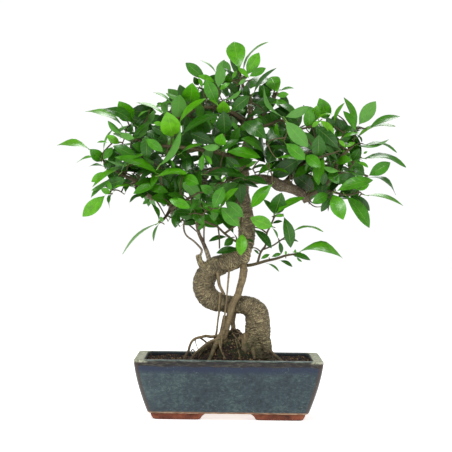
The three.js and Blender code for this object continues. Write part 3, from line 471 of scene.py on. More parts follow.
def grain_growth():
    """Loose grains on a surface, each of its own size, turn and tint."""
    sizes = {
        "Grains": "Collection", "Per Square Metre": "Float", "Least Size": "Float", "Greatest Size": "Float",
        "Seed": "Int", "Skin": "Material",
    }
    grow = Growth("Grains on a surface", sizes)
    scatter = {
        "Mesh": grow.given["Geometry"], "Density": grow.given["Per Square Metre"], "Seed": grow.given["Seed"],
    }
    points = grow.node("GeometryNodeDistributePointsOnFaces", {}, scatter)
    kinds = {"Collection": grow.given["Grains"], "Separate Children": True, "Reset Children": True}
    shapes = grow.node("GeometryNodeCollectionInfo", {}, kinds)
    least, greatest = grow.given["Least Size"], grow.given["Greatest Size"]
    size = grow.node("FunctionNodeRandomValue", {"data_type": "FLOAT"}, {2: least, 3: greatest, "Seed": 3}, 1)
    around = {0: (0.0, 0.0, 0.0), 1: (6.28, 6.28, 6.28), "Seed": 4}
    turn = grow.node("FunctionNodeRandomValue", {"data_type": "FLOAT_VECTOR"}, around, 0)
    turn = grow.node("FunctionNodeEulerToRotation", {}, {"Euler": turn})
    inputs = {"Points": points, "Instance": shapes, "Pick Instance": True, "Rotation": turn, "Scale": size}
    grains = grow.node("GeometryNodeInstanceOnPoints", {}, inputs)
    tint = grow.node("FunctionNodeRandomValue", {"data_type": "FLOAT"}, {2: 0.0, 3: 1.0, "Seed": 5}, 1)
    store = {"data_type": "FLOAT", "domain": "INSTANCE"}
    grains = grow.node(
        "GeometryNodeStoreNamedAttribute", store, {"Geometry": grains, "Name": "tint", "Value": tint},
    )
    grow.ends(grains, grow.given["Skin"])
    return grow

# ---------------------------------------------------------------- the finishes of this tree


def tone(code):
    """A colour from its six hexadecimal digits."""
    parts = [int(code[i : i + 2], 16) / 255 for i in (0, 2, 4)]
    return tuple(c / 12.92 if c <= 0.04045 else ((c + 0.055) / 1.055) ** 2.4 for c in parts)


def bark_finish(name, pale, middle, dark, moss):
    """Fig bark: fine lines across the limb, worn pale on the ridges, painted shade in broad dark patches,
    mossy near the soil and browner above.
    """
    finish = Finish(name)
    z = finish.parts(finish.place())[2]
    unrolled = finish.attribute("unrolled", "Vector")
    across = finish.scaled(unrolled, (900.0, 210.0, 210.0))
    lines = finish.noise(across, 1.0, 4.0, 0.65, 1.2)
    patches = finish.noise(finish.place(), 55.0, 3.0, 0.6)
    fine = finish.noise(finish.place(), 900.0, 2.0, 0.6)
    ridges = finish.attribute("ridge")
    wear = (lines * 0.8 + ridges * 0.2 + (fine - 0.5) * 0.25 + (patches - 0.5) * 0.15).limited()
    colour = finish.ramp(wear, (0.33, dark), (0.5, middle), (0.62, pale))
    # painted shade: broad dark patches mixed into the bark colour
    painted_shade_patches = finish.noise(finish.place(), 34.0, 2.0).smooth(0.5, 0.66)
    colour = finish.mix(painted_shade_patches * 0.45, colour, tone("3a3120"))
    upper = z.smooth(0.21, 0.31)
    colour = finish.mix(upper * 0.55, colour, tone("5b4a3a"), "MIX")
    speckles = finish.noise(finish.place(), 700.0, 1.0).smooth(0.6, 0.68)
    colour = finish.mix(speckles * upper * 0.6, colour, tone("a59a80"))
    mossy = (1 - z.smooth(0.088, 0.118)) * patches.smooth(0.38, 0.62)
    colour = finish.mix(mossy * 0.6, colour, moss)
    # darker towards the soil line
    near_soil_darkening = 1 - z.smooth(0.078, 0.1)
    colour = finish.mix(near_soil_darkening * 0.55, colour, tone("2e2516"))
    height = lines * 0.7 + fine * 0.3
    return finish.done(colour, 0.62 + wear * 0.25, finish.bump(height, 0.0016, 0.9))


def root_finish(name, pale, dark):
    finish = Finish(name)
    z = finish.parts(finish.place())[2]
    unrolled = finish.attribute("unrolled", "Vector")
    along = finish.noise(finish.scaled(unrolled, (90.0, 500.0, 500.0)), 1.0, 3.0, 0.6, 0.3)
    rings = finish.noise(finish.scaled(unrolled, (650.0, 60.0, 60.0)), 1.0, 2.0)
    patches = finish.noise(finish.place(), 90.0, 2.0)
    wear = (along * 0.5 + rings * 0.3 + patches * 0.2).limited()
    colour = finish.ramp(wear, (0.32, dark), (0.62, pale))
    # darker towards the soil line
    near_soil_darkening = (1 - z.smooth(0.074, 0.1)) * 0.5
    colour = finish.mix(near_soil_darkening, colour, tone("2f2418"))
    mossy = (1 - z.smooth(0.085, 0.11)) * patches.smooth(0.5, 0.62)
    colour = finish.mix(mossy * 0.6, colour, tone("36421a"))
    return finish.done(colour, 0.72, finish.bump(along * 0.5 + rings * 0.5, 0.0005, 0.7))


def leaf_finish():
    """A glossy blade: a pale midrib with fine side veins, a paler, duller underside, and painted shade on
    leaves deep in the crown.
    """
    finish = Finish("Leaf skin")
    across, along, _ = finish.parts(finish.place("UV"))
    under = across > 0.5
    side = ((across * 4) - 1 - under * 2).size()
    tint = finish.attribute("tint")
    shade = finish.attribute("shade")
    colour = finish.ramp(
        tint,
        (0.0, tone("12330a")), (0.2, tone("20500c")), (0.4, tone("387c0c")), (0.6, tone("50a00c")),
        (0.8, tone("6cb41c")), (1.0, tone("9ed04c")),
    )
    patches = finish.noise(finish.place(), 130.0, 2.0)
    colour = finish.mix(patches.smooth(0.4, 0.7) * 0.3, colour, tone("173f0a"))
    veins = ((along * 46 + side * 7).sine() * 0.5 + 0.5).smooth(0.86, 1.0) * side.smooth(0.05, 0.2)
    colour = finish.mix(veins * 0.1, colour, tone("7db84a"))
    midrib = 1 - side.smooth(0.01, 0.06)
    colour = finish.mix(midrib * 0.32, colour, tone("a4c766"))
    below = finish.mix(0.5, colour, tone("6aa050"))
    colour = finish.mix(under, colour, below)
    # painted shade: leaves deep in the crown are darkened towards a deep green
    colour = finish.mix(shade, colour, (0.006, 0.024, 0.0015), "MIX")
    height = midrib * 0.8 + veins * 0.25
    return finish.done(colour, 0.28 + under * 0.27, finish.bump(height, 0.0004, 0.6), Specular_IOR_Level=0.36)


def glaze_finish():
    """Slate-blue glaze: bluer where it gathers below the rim, burnt brown where it has run thin over the lip
    and the corners, pale where it breaks on an edge, chalky with lime on the ends of the rim, and tan along
    the lower edge."""
    finish = Finish("Slate blue glaze")
    x, _, z = finish.parts(finish.place())
    clouds = finish.noise(finish.place(), 38.0, 5.0, 0.7, 0.5)
    mottle = finish.noise(finish.scaled(finish.place(), (210.0, 210.0, 330.0)), 1.0, 4.0, 0.7, 0.6)
    body = (clouds * 0.45 + mottle * 0.55).limited()
    colour = finish.ramp(body, (0.36, tone("131e26")), (0.5, tone("293a41")), (0.66, tone("4b5e5b")))
    # painted light: the glaze is lightened towards the left end of the pot
    colour = finish.mix((1 - x.smooth(-0.125, -0.06)) * 0.22, colour, tone("55656a"))
    runs = finish.noise(finish.scaled(finish.place(), (150.0, 150.0, 9.0)), 1.0, 3.0, 0.6)
    colour = finish.mix(runs.smooth(0.5, 0.68) * 0.25, colour, tone("30444f"))
    streaks = finish.noise(finish.scaled(finish.place(), (45.0, 45.0, 5.0)), 1.0, 4.0, 0.6)
    level = z + (streaks - 0.5) * 0.007
    colour = finish.mix(level.smooth(0.057, 0.065) * 0.85, colour, tone("14233f"))
    band = level.smooth(0.0672, 0.0702)
    thin = finish.noise(finish.scaled(finish.place(), (110.0, 110.0, 700.0)), 1.0, 3.0, 0.7)
    burnt = finish.ramp(thin, (0.38, tone("120e0a")), (0.52, tone("28221b")), (0.66, tone("4d483a")))
    colour = finish.mix(band * 0.92, colour, burnt)
    corner = finish.attribute("corner").smooth(0.35, 0.95) * (0.5 + thin * 0.8)
    colour = finish.mix(corner.limited() * 0.85, colour, tone("3a2416"))
    grains = finish.noise(
        finish.scaled(finish.place(), (420.0, 420.0, 520.0)), 1.0, 3.0, 0.75,
    ).smooth(0.6, 0.7)
    where = finish.noise(finish.place(), 34.0, 3.0).smooth(0.48, 0.62)
    colour = finish.mix(grains * where * 0.6, colour, tone("7d8d79"))
    flakes = finish.noise(
        finish.scaled(finish.place(), (110.0, 110.0, 170.0)), 1.0, 4.0, 0.8,
    ).smooth(0.66, 0.72)
    colour = finish.mix(flakes * 0.55, colour, tone("77836a"))
    chalk = finish.noise(finish.place(), 190.0, 4.0, 0.75)
    lime = x.size().smooth(0.1015, 0.1065) * z.smooth(0.0725, 0.0755) * chalk.smooth(0.3, 0.45)
    colour = finish.mix(
        lime * 0.9, colour,
        finish.ramp(chalk, (0.38, tone("8a8f78")), (0.5, tone("b6b8a0")), (0.66, tone("dcdcc8"))),
    )
    edge = z.smooth(0.0752, 0.0762) * (1 - lime)
    colour = finish.mix(
        edge * 0.8, colour, finish.mix(thin.smooth(0.35, 0.65), tone("3d4d49"), tone("7f9189")),
    )
    foot_line = 1 - (z + (thin - 0.5) * 0.0035).smooth(0.0095, 0.0112)
    colour = finish.mix(foot_line, colour, finish.mix(thin.smooth(0.4, 0.6), tone("6b4a34"), tone("a88a6c")))
    inside = finish.attribute("inside")
    # the inner walls are coloured darker
    colour = finish.mix(inside * 0.8, colour, tone("16242e"))
    crusts = grains * where + flakes
    rough = 0.26 + lime * 0.5 + foot_line * 0.4 + crusts * 0.25 + band * 0.15 + mottle * 0.15
    height = mottle * 0.5 + runs * 0.25 + grains * 0.2
    return finish.done(colour, rough, finish.bump(height, 0.0006, 0.4), Specular_IOR_Level=0.4)


def clay_finish():
    finish = Finish("Red clay")
    z = finish.parts(finish.place())[2]
    patches = finish.noise(finish.place(), 60.0, 4.0, 0.65)
    grit = finish.noise(finish.place(), 1100.0, 2.0)
    colour = finish.ramp(patches, (0.3, tone("4c2415")), (0.5, tone("743a24")), (0.72, tone("935538")))
    smudges = finish.noise(finish.scaled(finish.place(), (70.0, 70.0, 260.0)), 1.0, 3.0).smooth(0.56, 0.66)
    colour = finish.mix(smudges * 0.75, colour, tone("2a1b14"))
    worn = 1 - z.smooth(0.0004, 0.0022)
    colour = finish.mix(worn * patches.smooth(0.35, 0.6) * 0.8, colour, tone("1d1512"))
    return finish.done(colour, 0.8 + grit * 0.15, finish.bump(grit * 0.5 + patches * 0.5, 0.0004, 0.5))


def soil_finish(name, loose):
    """Damp bark soil, and its loose grains if asked, which run from black-brown to orange and tan."""
    finish = Finish(name)
    x, _, z = finish.parts(finish.place())
    patches = finish.noise(finish.place(), 260.0, 3.0, 0.6)
    tint = finish.attribute("tint") if loose else patches
    colour = finish.ramp(
        tint, (0.0, tone("140e09")), (0.45, tone("261a11")), (0.74, tone("3e2b1d")), (0.9, tone("65492f")),
        (1.0, tone("957a54")),
    )
    near = 1 - ((x - ORIGIN.x / 1000 - 0.01).size() / 0.06).limited()
    moss = near * finish.noise(finish.place(), 120.0, 2.0).smooth(0.42, 0.56) * z.smooth(0.074, 0.08)
    colour = finish.mix(moss * 0.7, colour, tone("27330f"))
    fine = finish.noise(finish.place(), 1500.0, 2.0)
    return finish.done(colour, 0.9, finish.bump(fine * 0.5 + patches * 0.5, 0.0006, 0.8))


def grit_finish():
    finish = Finish("Drainage grit")
    cells = finish.cells(finish.place(), 260.0)
    colour = finish.ramp(cells, (0.0, tone("b0724a")), (0.5, tone("8a5034")), (1.0, tone("3a241a")))
    return finish.done(colour, 0.9, finish.bump(1 - cells, 0.0015, 1.0))


def mesh_finish():
    finish = Finish("Black plastic mesh")
    dust = finish.noise(finish.place(), 500.0, 3.0)
    colour = finish.mix(dust.smooth(0.5, 0.8) * 0.4, tone("141414"), tone("4a3f34"))
    return finish.done(colour, 0.5 + dust * 0.2, finish.bump(dust, 0.0001, 0.3))


def wire_finish():
    finish = Finish("Plain wire")
    rust = finish.noise(finish.place(), 400.0, 3.0).smooth(0.55, 0.7)
    colour = finish.mix(rust * 0.5, tone("9c9c98"), tone("6e4a32"))
    return finish.done(colour, 0.3 + rust * 0.4, finish.bump(rust, 0.0001, 0.4), Metallic=0.9)


def floor_finish():
    finish = Finish("Pale floor")
    grain = finish.noise(finish.place(), 3.0, 2.0)
    colour = finish.mix(grain, (0.9, 0.9, 0.9), (0.92, 0.92, 0.92))
    return finish.done(colour, 0.9, Emission_Color=(1, 1, 1, 1), Emission_Strength=0.7)


TRUNK_BARK = bark_finish("Fig bark", tone("c0b084"), tone("70644a"), tone("19130b"), tone("3f4a22"))
BRANCH_BARK = bark_finish("Branch bark", tone("b4a890"), tone("6f5f4a"), tone("2b2118"), tone("3f4a22"))
ROOT_BARK = root_finish("Root bark", tone("92805c"), tone("3c2f1f"))
TWIG_BARK = root_finish("Twig bark", tone("5c5230"), tone("34291a"))
LEAF_SKIN = leaf_finish()
GLAZE = glaze_finish()
CLAY = clay_finish()
SOIL = soil_finish("Bonsai soil", False)
GRAINS = soil_finish("Soil grains", True)


# ---------------------------------------------------------------- where everything grows

# Each limb is a list of points, each with the radius there.
TRUNK = [
    (41, 2, 50, 20), (40, 2, 72, 18.5), (39.5, 2, 90, 17), (40, 2, 118, 16.5), (36, 2, 136, 15.5),
    (24, 1, 143.5, 12.5), (10, 0, 144, 11.3), (-2, -1, 145, 11.6), (-14, -1, 147.5, 12.8), (-24, 0, 153, 14),
    (-31, 1, 167, 15.3), (-28, 1, 181, 14.5), (-18, 0, 191, 13.6), (-8, 0, 195.5, 13.2), (2, 0, 199, 12.5),
    (12, 0, 204, 11.6), (20, 0, 215, 11), (24, 0, 232, 11.3), (23.5, 0, 248, 11.5), (20, 0, 266, 11.5),
    (16, 0, 285, 11.5), (15, 0, 300, 11), (17, 0, 315, 10), (20, 1, 335, 8), (24, 2, 355, 6),
    (26, 2, 375, 5), (27, 1, 395, 4), (25, 0, 418, 3),
]

CUT_STUB = [(-30, 0, 190, 7), (-36, 0, 199, 4.5), (-39, 0, 208, 3.6)]

ROOT_FLARE = [(42, -4, 98, 9), (50, -8, 87, 7.4), (55, -12, 76, 5.4), (59, -15, 62, 3)]

BACK_FLARE = [(40, 8, 96, 9), (44, 22, 82, 7), (48, 34, 68, 4)]

ROOTS = {
    "root_mass": [(27, -2, 92, 8), (16, -4, 97, 8), (8, -4, 92, 9), (3, -4, 78, 9), (0, -4, 58, 7)],
    "root_back": [
        (9, 9, 134, 3.4), (7.2, 9, 121, 3), (8.1, 8, 113.8, 3), (6.3, 8, 104, 3.2), (5, 8, 84, 3),
        (5, 8, 64, 2),
    ],
    "prop_root": [
        (21, -12, 191, 4.6), (18.9, -15, 177.6, 4.2), (16.2, -16, 168.6, 4), (13.5, -16, 157.8, 4),
        (8.1, -16, 148, 3.8),
        (4.5, -15, 139, 3.6), (2.7, -15, 129, 3.5), (0, -15, 119, 3.4), (-1.8, -15, 110, 3.3),
        (-3.6, -15, 103, 3.2),
        (-9, -16, 99.5, 3), (-13.5, -17, 96, 2.8), (-14.3, -18, 90.5, 2.6), (-17, -19, 82.4, 2.3),
        (-21.5, -20, 71.6, 2),
        (-24, -20, 62, 1.6),
    ],
    "prop_root_companion": [
        (-3, -8, 130, 2.6), (-5.4, -9, 114.7, 3), (-7.2, -9, 106.6, 3), (-8, -8, 94, 3), (-8, -8, 78, 2.6),
        (-8, -8, 62, 2),
    ],
    "aerial_root_front": [
        (1.8, -14, 190, 1.3), (0.5, -20, 173, 1.2), (-0.4, -22, 160.5, 1.2), (-1.8, -21, 146, 1.2),
        (-3.6, -20, 128, 1.2),
        (-6, -22, 112, 1.1), (-7, -24, 90, 1), (-6, -24, 66, 0.9),
    ],
    "aerial_root_inner": [(-13, -10, 186, 2.4), (-10.7, -14, 170, 2), (-8, -15, 164, 2), (-4, -14, 157, 2)],
    "aerial_root_left": [
        (-9.5, -12, 160, 1.6), (-10.3, -15, 146, 1.4), (-10.8, -15, 133.6, 1.4), (-12, -14, 123.7, 1.4),
        (-13.9, -12, 106.6, 1.4), (-17, -10, 96, 1.4), (-19, -9, 64, 1.2),
    ],
    "root_tan": [(23, -12, 108, 2), (23.4, -16, 96.8, 2), (22.5, -18, 86, 2), (21, -19, 64, 1.6)],
    "surface_root_arched": [
        (-12, -11, 104, 2), (-19.7, -13, 102.6, 1.9), (-27, -14, 103.5, 1.8), (-34, -15, 102, 1.8),
        (-40.4, -16, 100.4, 1.8),
        (-44.9, -17, 96.8, 1.8), (-48, -18, 90.5, 1.8), (-49.4, -19, 84.2, 1.8), (-53.8, -20, 77, 1.7),
        (-57, -21, 64, 1.4),
    ],
    "surface_root_low": [
        (-10, -24, 101, 1.9), (-21.5, -25, 96.8, 1.8), (-30.5, -26, 90.5, 1.8), (-36.8, -27, 85, 1.8),
        (-43, -27, 78.8, 1.7),
        (-49, -27, 66, 1.4),
    ],
    "surface_root_right": [(50, -14, 92, 3), (60, -22, 82, 2.6), (70, -30, 74, 2.2), (78, -36, 62, 1.8)],
    "surface_root_rear": [(30, 14, 94, 4), (20, 28, 84, 3.2), (10, 40, 74, 2.6), (4, 46, 62, 2)],
}

BRANCHES = {
    "branch_right": [
        (19, 0, 302, 6.5), (33, 0, 306.5, 6.4), (47, 0, 307, 6.4), (57, 0, 304.5, 7), (65, 0, 300, 8),
        (77, 0, 297, 6.5),
        (89, 0, 292.5, 6.5), (98, 0, 287, 5.8), (103, 0, 279, 5.6),
    ],
    "branch_left": [
        (14, 2, 292, 7), (-15, 8, 299, 6.5), (-50, 6, 298, 6), (-80, 0, 288, 5.5), (-97, -4, 282, 5),
        (-112, -4, 292, 4),
        (-125, -3, 303, 3),
    ],
    "riser": [
        (-23, 0, 196, 3.2), (-26, -1, 208, 3), (-31, -2, 221, 2.6), (-38, -4, 236, 2.4),
        (-41.5, -6, 252, 2.2),
    ],
    "riser_curly": [
        (-37, 0, 205, 1.6), (-34, -2, 214, 1.4), (-37.5, -4, 219, 1.3), (-44.6, -6, 226, 1.3),
        (-54, -8, 233, 1.3),
        (-57.5, -10, 241.5, 1.3), (-57, -12, 252, 1.2),
    ],
}

LEFT_SPUR = [(-66, 3, 292, 4.6), (-72, 1, 276, 4), (-76, 0, 261, 3.5)]

RISER_FORK = [(-31, -2, 221, 1.3), (-31.5, -5, 234, 1.2), (-31, -8, 252, 1.1)]

# Leaves set one by one: foot and tip, each as x then z, the width that shows from in front, how far the leaf
# stands to the front (negative) or back, the arch of its blade where it is unusual, and its tone.
SET_LEAVES = {
    "crown_top": [
        (12, 450, 4, 487, 25, 0, "b"), (17, 449, 49, 486, 3, 2, 0.16, "l"), (22, 443, 37, 471, 16, -8, "b"),
        (25, 440, 46, 451, 10, -12, "m"), (31, 418, 60, 451, 6, -16, "d"),
        (4, 434, -10, 451, 4, -10, 0.14, "d"), (-3, 430, 1, 446, 11, -2, "m"),
        (3, 437, 8, 447, 5, -14, "b"), (-15, 425, -11, 453, 14, -18, "p"), (-14, 440, -8, 463, 14, 4, "p"),
        (1, 447, -9, 461, 8, 2, "p"), (-18, 444, -39, 461, 3, 0, "l"), (0, 430, -13, 421, 6, -30, "b"),
        (-6, 408, 15, 422, 5, -34, "p"), (2, 394, 25, 413, 15, -38, "d"), (22, 412, 20, 428, 10, -14, "d"),
        (24, 437, 10, 450, 7, -22, "b"), (11, 428, 20, 436, 5, -28, "p"),
    ],
    "crown_right": [
        (62, 420, 53, 442, 20, 6, "b"), (50, 410, 38, 428, 16, -14, "d"), (33, 405, 60, 409, 9, -22, "d"),
        (60, 416, 76, 418, 8, -6, "b"), (66, 423, 83, 426, 4, -2, "m"), (66, 382, 52, 394, 12, -16, "d"),
        (61, 411, 63, 400, 3, -28, "p"), (43, 378, 33, 386, 7, -12, "m"), (20, 384, 34, 391, 4, -8, "d"),
        (12, 368, 24, 378, 8, -24, "m"), (12, 368, 3, 380, 6, -24, "m"),
    ],
    "crown_left": [
        (-33, 437, -58, 457, 14, -5, "o"), (-20, 432, -42, 440, 8, -10, "b"),
        (-17, 403, -31, 433, 17, -42, "m"), (-51, 403, -48, 428, 23, -34, "b"),
        (-41, 428, -47, 438, 8, -12, "d"), (-36, 424, -41, 437, 5, -16, "b"),
        (-68, 378, -64, 413, 20, -36, "p"), (-64, 378, -30, 409, 9, -46, "b"),
        (-60, 362, -13, 388, 11, -58, "d"), (-6, 364, -8, 392, 19, -52, "d"),
        (-13, 349, -9, 363, 15, -62, "b"), (-8, 390, -8, 405, 17, -52, "l"),
        (-27, 407, -14, 399, 3, -46, "l"), (-84, 388, -120, 403, 5, -30, "b"),
        (-76, 405, -99, 417, 4, -20, "b"), (-60, 410, -83, 417, 6, -16, "p"),
        (-82, 388, -86, 404, 9, -18, "p"), (-84, 403, -94, 402, 4, -10, "b"),
        (-72, 360, -79, 389, 26, -64, "l"), (-85, 375, -97, 377, 6, -42, "b"),
    ],
    "left_upper": [
        (-128, 381, -143, 405, 22, -8, "b"), (-121, 374, -163, 395, 13, -22, 0.14, "d"),
        (-138, 373, -187, 392, 9, -10, 0.12, "l"), (-138, 363, -157, 380, 8, -20, "p"),
        (-163, 342, -150, 371, 4, -4, 0.1, "b"), (-158, 352, -171, 352, 3, -14, "b"),
        (-142, 351, -158, 361, 10, -18, 0.16, "l"), (-124, 355, -99, 380, 7, -28, "d"),
        (-122, 357, -140, 362, 9, -32, "p"), (-122, 357, -104, 376, 9, -30, "p"),
        (-113, 372, -97, 395, 9, -16, "p"), (-106, 394, -119, 385, 3, -12, "b"),
        (-77, 362, -100, 373, 12, -36, 0.14, "d"), (-84, 356, -108, 366, 10, -32, "d"),
        (-84, 340, -106, 356, 12, -46, "m"), (-105, 328, -107, 361, 16, -38, "d"),
        (-118, 331, -149, 347, 13, -36, "o"), (-163, 330, -151, 346, 10, -12, "m"),
        (-130, 332, -148, 340, 5, -28, "d"), (-119, 333, -160, 330, 4, -26, 0.12, "p"),
        (-88, 322, -62, 368, 10, -66, 0.1, "p"), (-34, 346, -12, 347, 9, -52, "p"),
        (-20, 352, -50, 364, 14, -42, "d"), (-62, 338, -34, 350, 5, -54, "b"),
        (-10, 342, 12, 357, 9, -42, "d"), (-33, 337, -35, 316, 8, -58, "m"),
        (-31, 336, -22, 324, 5, -52, "b"), (-54, 333, -54, 314, 12, -50, "d"),
        (-75, 330, -70, 318, 4, -54, "m"),
    ],
    "left_outer": [
        (-181, 343, -224, 348, 9, 0, 0.14, "l"), (-164, 329, -180, 343, 15, -6, "m"),
        (-168, 331, -198, 326, 3, -2, 0.14, "l"), (-161, 320, -182, 321, 3, -4, 0.16, "o"),
        (-158, 314, -178, 301, 10, -12, 0.14, "b"), (-134, 322, -176, 294, 8, -18, 0.1, "l"),
        (-157, 304, -178, 290, 7, -8, "p"), (-152, 290, -157, 303, 6, -14, "b"),
        (-153, 287, -165, 292, 8, -16, "l"), (-163, 293, -179, 280, 5, -4, 0.12, "m"),
        (-161, 283, -189, 256, 17, -8, "l"), (-155, 285, -156, 274, 5, -6, "o"),
        (-148, 290, -154, 267, 3, -8, 0.12, "m"), (-161, 330, -154, 317, 10, -8, "d"),
        (-110, 284, -128, 275, 5, -16, 0.2, "d"), (-102, 280, -111, 273, 5, -12, "o"),
        (-92, 298, -122, 286, 11, -42, "m"), (-91, 312, -146, 332, 12, -48, 0.1, "m"),
        (-89, 309, -53, 312, 9, -60, 0.16, "b"), (-98, 318, -118, 312, 5, -32, "d"),
        (-88, 300, -105, 306, 6, -36, "d"), (-125, 296, -148, 294, 4, -22, "l"),
    ],
    "left_lower": [
        (-92, 248, -136, 208, 3, -20, 0.1, "l"), (-90, 247, -96, 225, 4, -22, "o"),
        (-90, 252, -100, 274, 5, -18, 0.12, "m"), (-84, 250, -88, 257, 5, -26, "p"),
        (-67, 262, -68, 243, 12, -28, "d"), (-46, 261, -71, 262, 9, -36, "d"),
        (-48, 268, -76, 279, 12, -46, "b"), (-57, 308, -38, 299, 15, -62, "m"),
        (-20, 288, -36, 297, 12, -58, "m"),
    ],
    "middle_low": [
        (-19, 269, -7, 296, 15, -66, "m"), (-10, 271, 12, 295, 8, -60, "b"),
        (19, 258, -3, 277, 15, -54, "m"), (14, 246, -9, 269, 17, -50, "m"),
        (-48, 264, -38, 280, 6, -50, "o"), (-34, 270, -11, 264, 8, -46, "m"),
        (-2, 232, -25, 226, 6, -22, "d"), (14, 216, -15, 211, 9, -28, "d"), (6, 230, -5, 221, 10, -32, "d"),
        (18, 236, 16, 209, 15, -44, "b"), (-30, 249, -39, 241, 5, -32, "m"),
        (-38, 253, -55, 251, 3, -34, "d"), (24, 229, 33, 226, 3, -24, "d"),
    ],
    "middle_front": [
        (-29, 312, 22, 309, 11, -48, 0.1, "d"), (18, 308, 50, 300, 9, -38, "d"),
        (8, 302, 38, 296, 7, -34, "d"), (-19, 311, -12, 305, 4, -44, "p"), (-9, 302, -4, 310, 4, -44, "l"),
        (-3, 341, 40, 334, 14, -46, 0.1, "m"), (36, 330, 22, 322, 6, -20, "l"),
        (29, 320, 17, 317, 3, -24, 0.2, "d"), (30, 320, 49, 325, 4, -18, "m"),
        (38, 313, 57, 327, 8, -24, "m"), (50, 316, 76, 316, 5, -16, 0.14, "b"),
        (-4, 335, 14, 318, 12, -40, "d"),
    ],
    "right_upper": [
        (72, 387, 101, 401, 12, -36, "p"), (97, 401, 108, 393, 9, -34, "p"),
        (71, 380, 100, 348, 19, -58, "p"), (88, 372, 76, 387, 12, -26, "d"),
        (102, 371, 101, 398, 15, -42, "m"), (108, 382, 112, 402, 13, -34, "b"),
        (127, 386, 115, 412, 19, -16, "b"), (111, 383, 131, 391, 3, -42, 0.12, "l"),
        (115, 382, 105, 374, 6, -46, "l"), (115, 382, 133, 363, 9, -48, 0.14, "l"),
        (134, 374, 124, 387, 11, -26, "d"), (75, 363, 92, 350, 10, -46, "o"),
        (72, 352, 97, 332, 16, -54, "m"), (139, 347, 109, 374, 16, -52, "d"),
        (113, 335, 113, 363, 18, -60, "d"), (98, 337, 116, 322, 15, -64, "m"),
        (63, 334, 92, 332, 6, -48, "b"), (51, 349, 84, 336, 8, -40, "d"),
        (70, 386, 43, 428, 6, -32, 0.16, "p"),
    ],
    "right_outer": [
        (163, 374, 147, 414, 10, -16, "m"), (162, 371, 146, 396, 10, -26, "m"),
        (135, 381, 148, 407, 5, -20, 0.1, "l"), (168, 380, 189, 410, 18, -8, "p"),
        (182, 376, 221, 391, 9, -4, "m"), (166, 363, 215, 378, 5, -6, 0.12, "l"),
        (165, 353, 207, 361, 5, -4, 0.1, "p"), (178, 354, 218, 344, 5, 0, 0.14, "m"),
        (176, 336, 230, 325, 9, -2, 0.14, "m"), (182, 314, 209, 331, 16, -6, "m"),
        (174, 342, 179, 345, 3, -8, "l"), (166, 330, 180, 324, 5, -14, 0.16, "b"),
        (160, 333, 168, 348, 12, -16, "d"), (181, 311, 217, 289, 6, -2, 0.26, "o"),
        (180, 288, 227, 275, 6, 0, 0.1, "l"), (139, 293, 184, 307, 15, -48, "m"),
        (163, 296, 181, 302, 10, -20, "b"), (151, 286, 181, 246, 17, -34, 0.1, "m"),
        (158, 287, 182, 268, 12, -22, 0.14, "d"), (134, 288, 146, 256, 20, -46, "b"),
        (127, 289, 107, 277, 14, -40, "m"), (130, 284, 119, 266, 9, -28, "d"),
        (160, 325, 175, 314, 10, -20, "d"), (149, 349, 140, 358, 5, -36, "l"),
        (149, 349, 161, 355, 5, -36, "l"), (145, 361, 167, 368, 5, -26, "b"),
        (147, 355, 157, 372, 9, -16, "d"), (150, 372, 140, 386, 10, -14, "d"),
        (146, 317, 164, 314, 3, -38, "o"), (130, 318, 140, 302, 14, -36, "o"),
        (140, 318, 121, 323, 7, -42, "p"), (120, 300, 124, 316, 9, -34, "d"),
    ],
    "right_low": [
        (60, 262, 68, 290, 20, -18, "d"), (59, 262, 45, 281, 7, -16, "o"), (62, 264, 98, 284, 9, -22, "b"),
        (60, 259, 72, 260, 4, -24, "l"), (72, 258, 81, 219, 15, -16, "d"), (57, 250, 70, 253, 4, -12, "d"),
        (57, 246, 28, 257, 17, -30, "b"), (57, 244, 64, 231, 3, -18, "m"), (33, 242, 56, 218, 10, -26, "d"),
        (43, 204, 54, 210, 5, -6, "m"), (57, 207, 69, 211, 5, -8, "m"), (82, 210, 107, 203, 7, -8, "d"),
        (92, 213, 149, 206, 12, -4, 0.18, "b"), (68, 202, 84, 194, 5, -6, "d"),
        (51, 198, 67, 187, 3, -4, "m"), (89, 207, 96, 201, 3, -10, "p"), (75, 209, 75, 215, 3, -8, "b"),
        (87, 211, 87, 217, 3, -8, "b"), (70, 229, 91, 227, 4, -10, "d"),
        (85, 241, 123, 240, 3, -12, 0.12, "l"), (66, 227, 69, 211, 6, -14, "d"),
        (33, 216, 40, 210, 3, -14, "d"),
    ],
    "right_inner": [
        (55, 300, 29, 270, 15, -34, "b"),
    ],
}

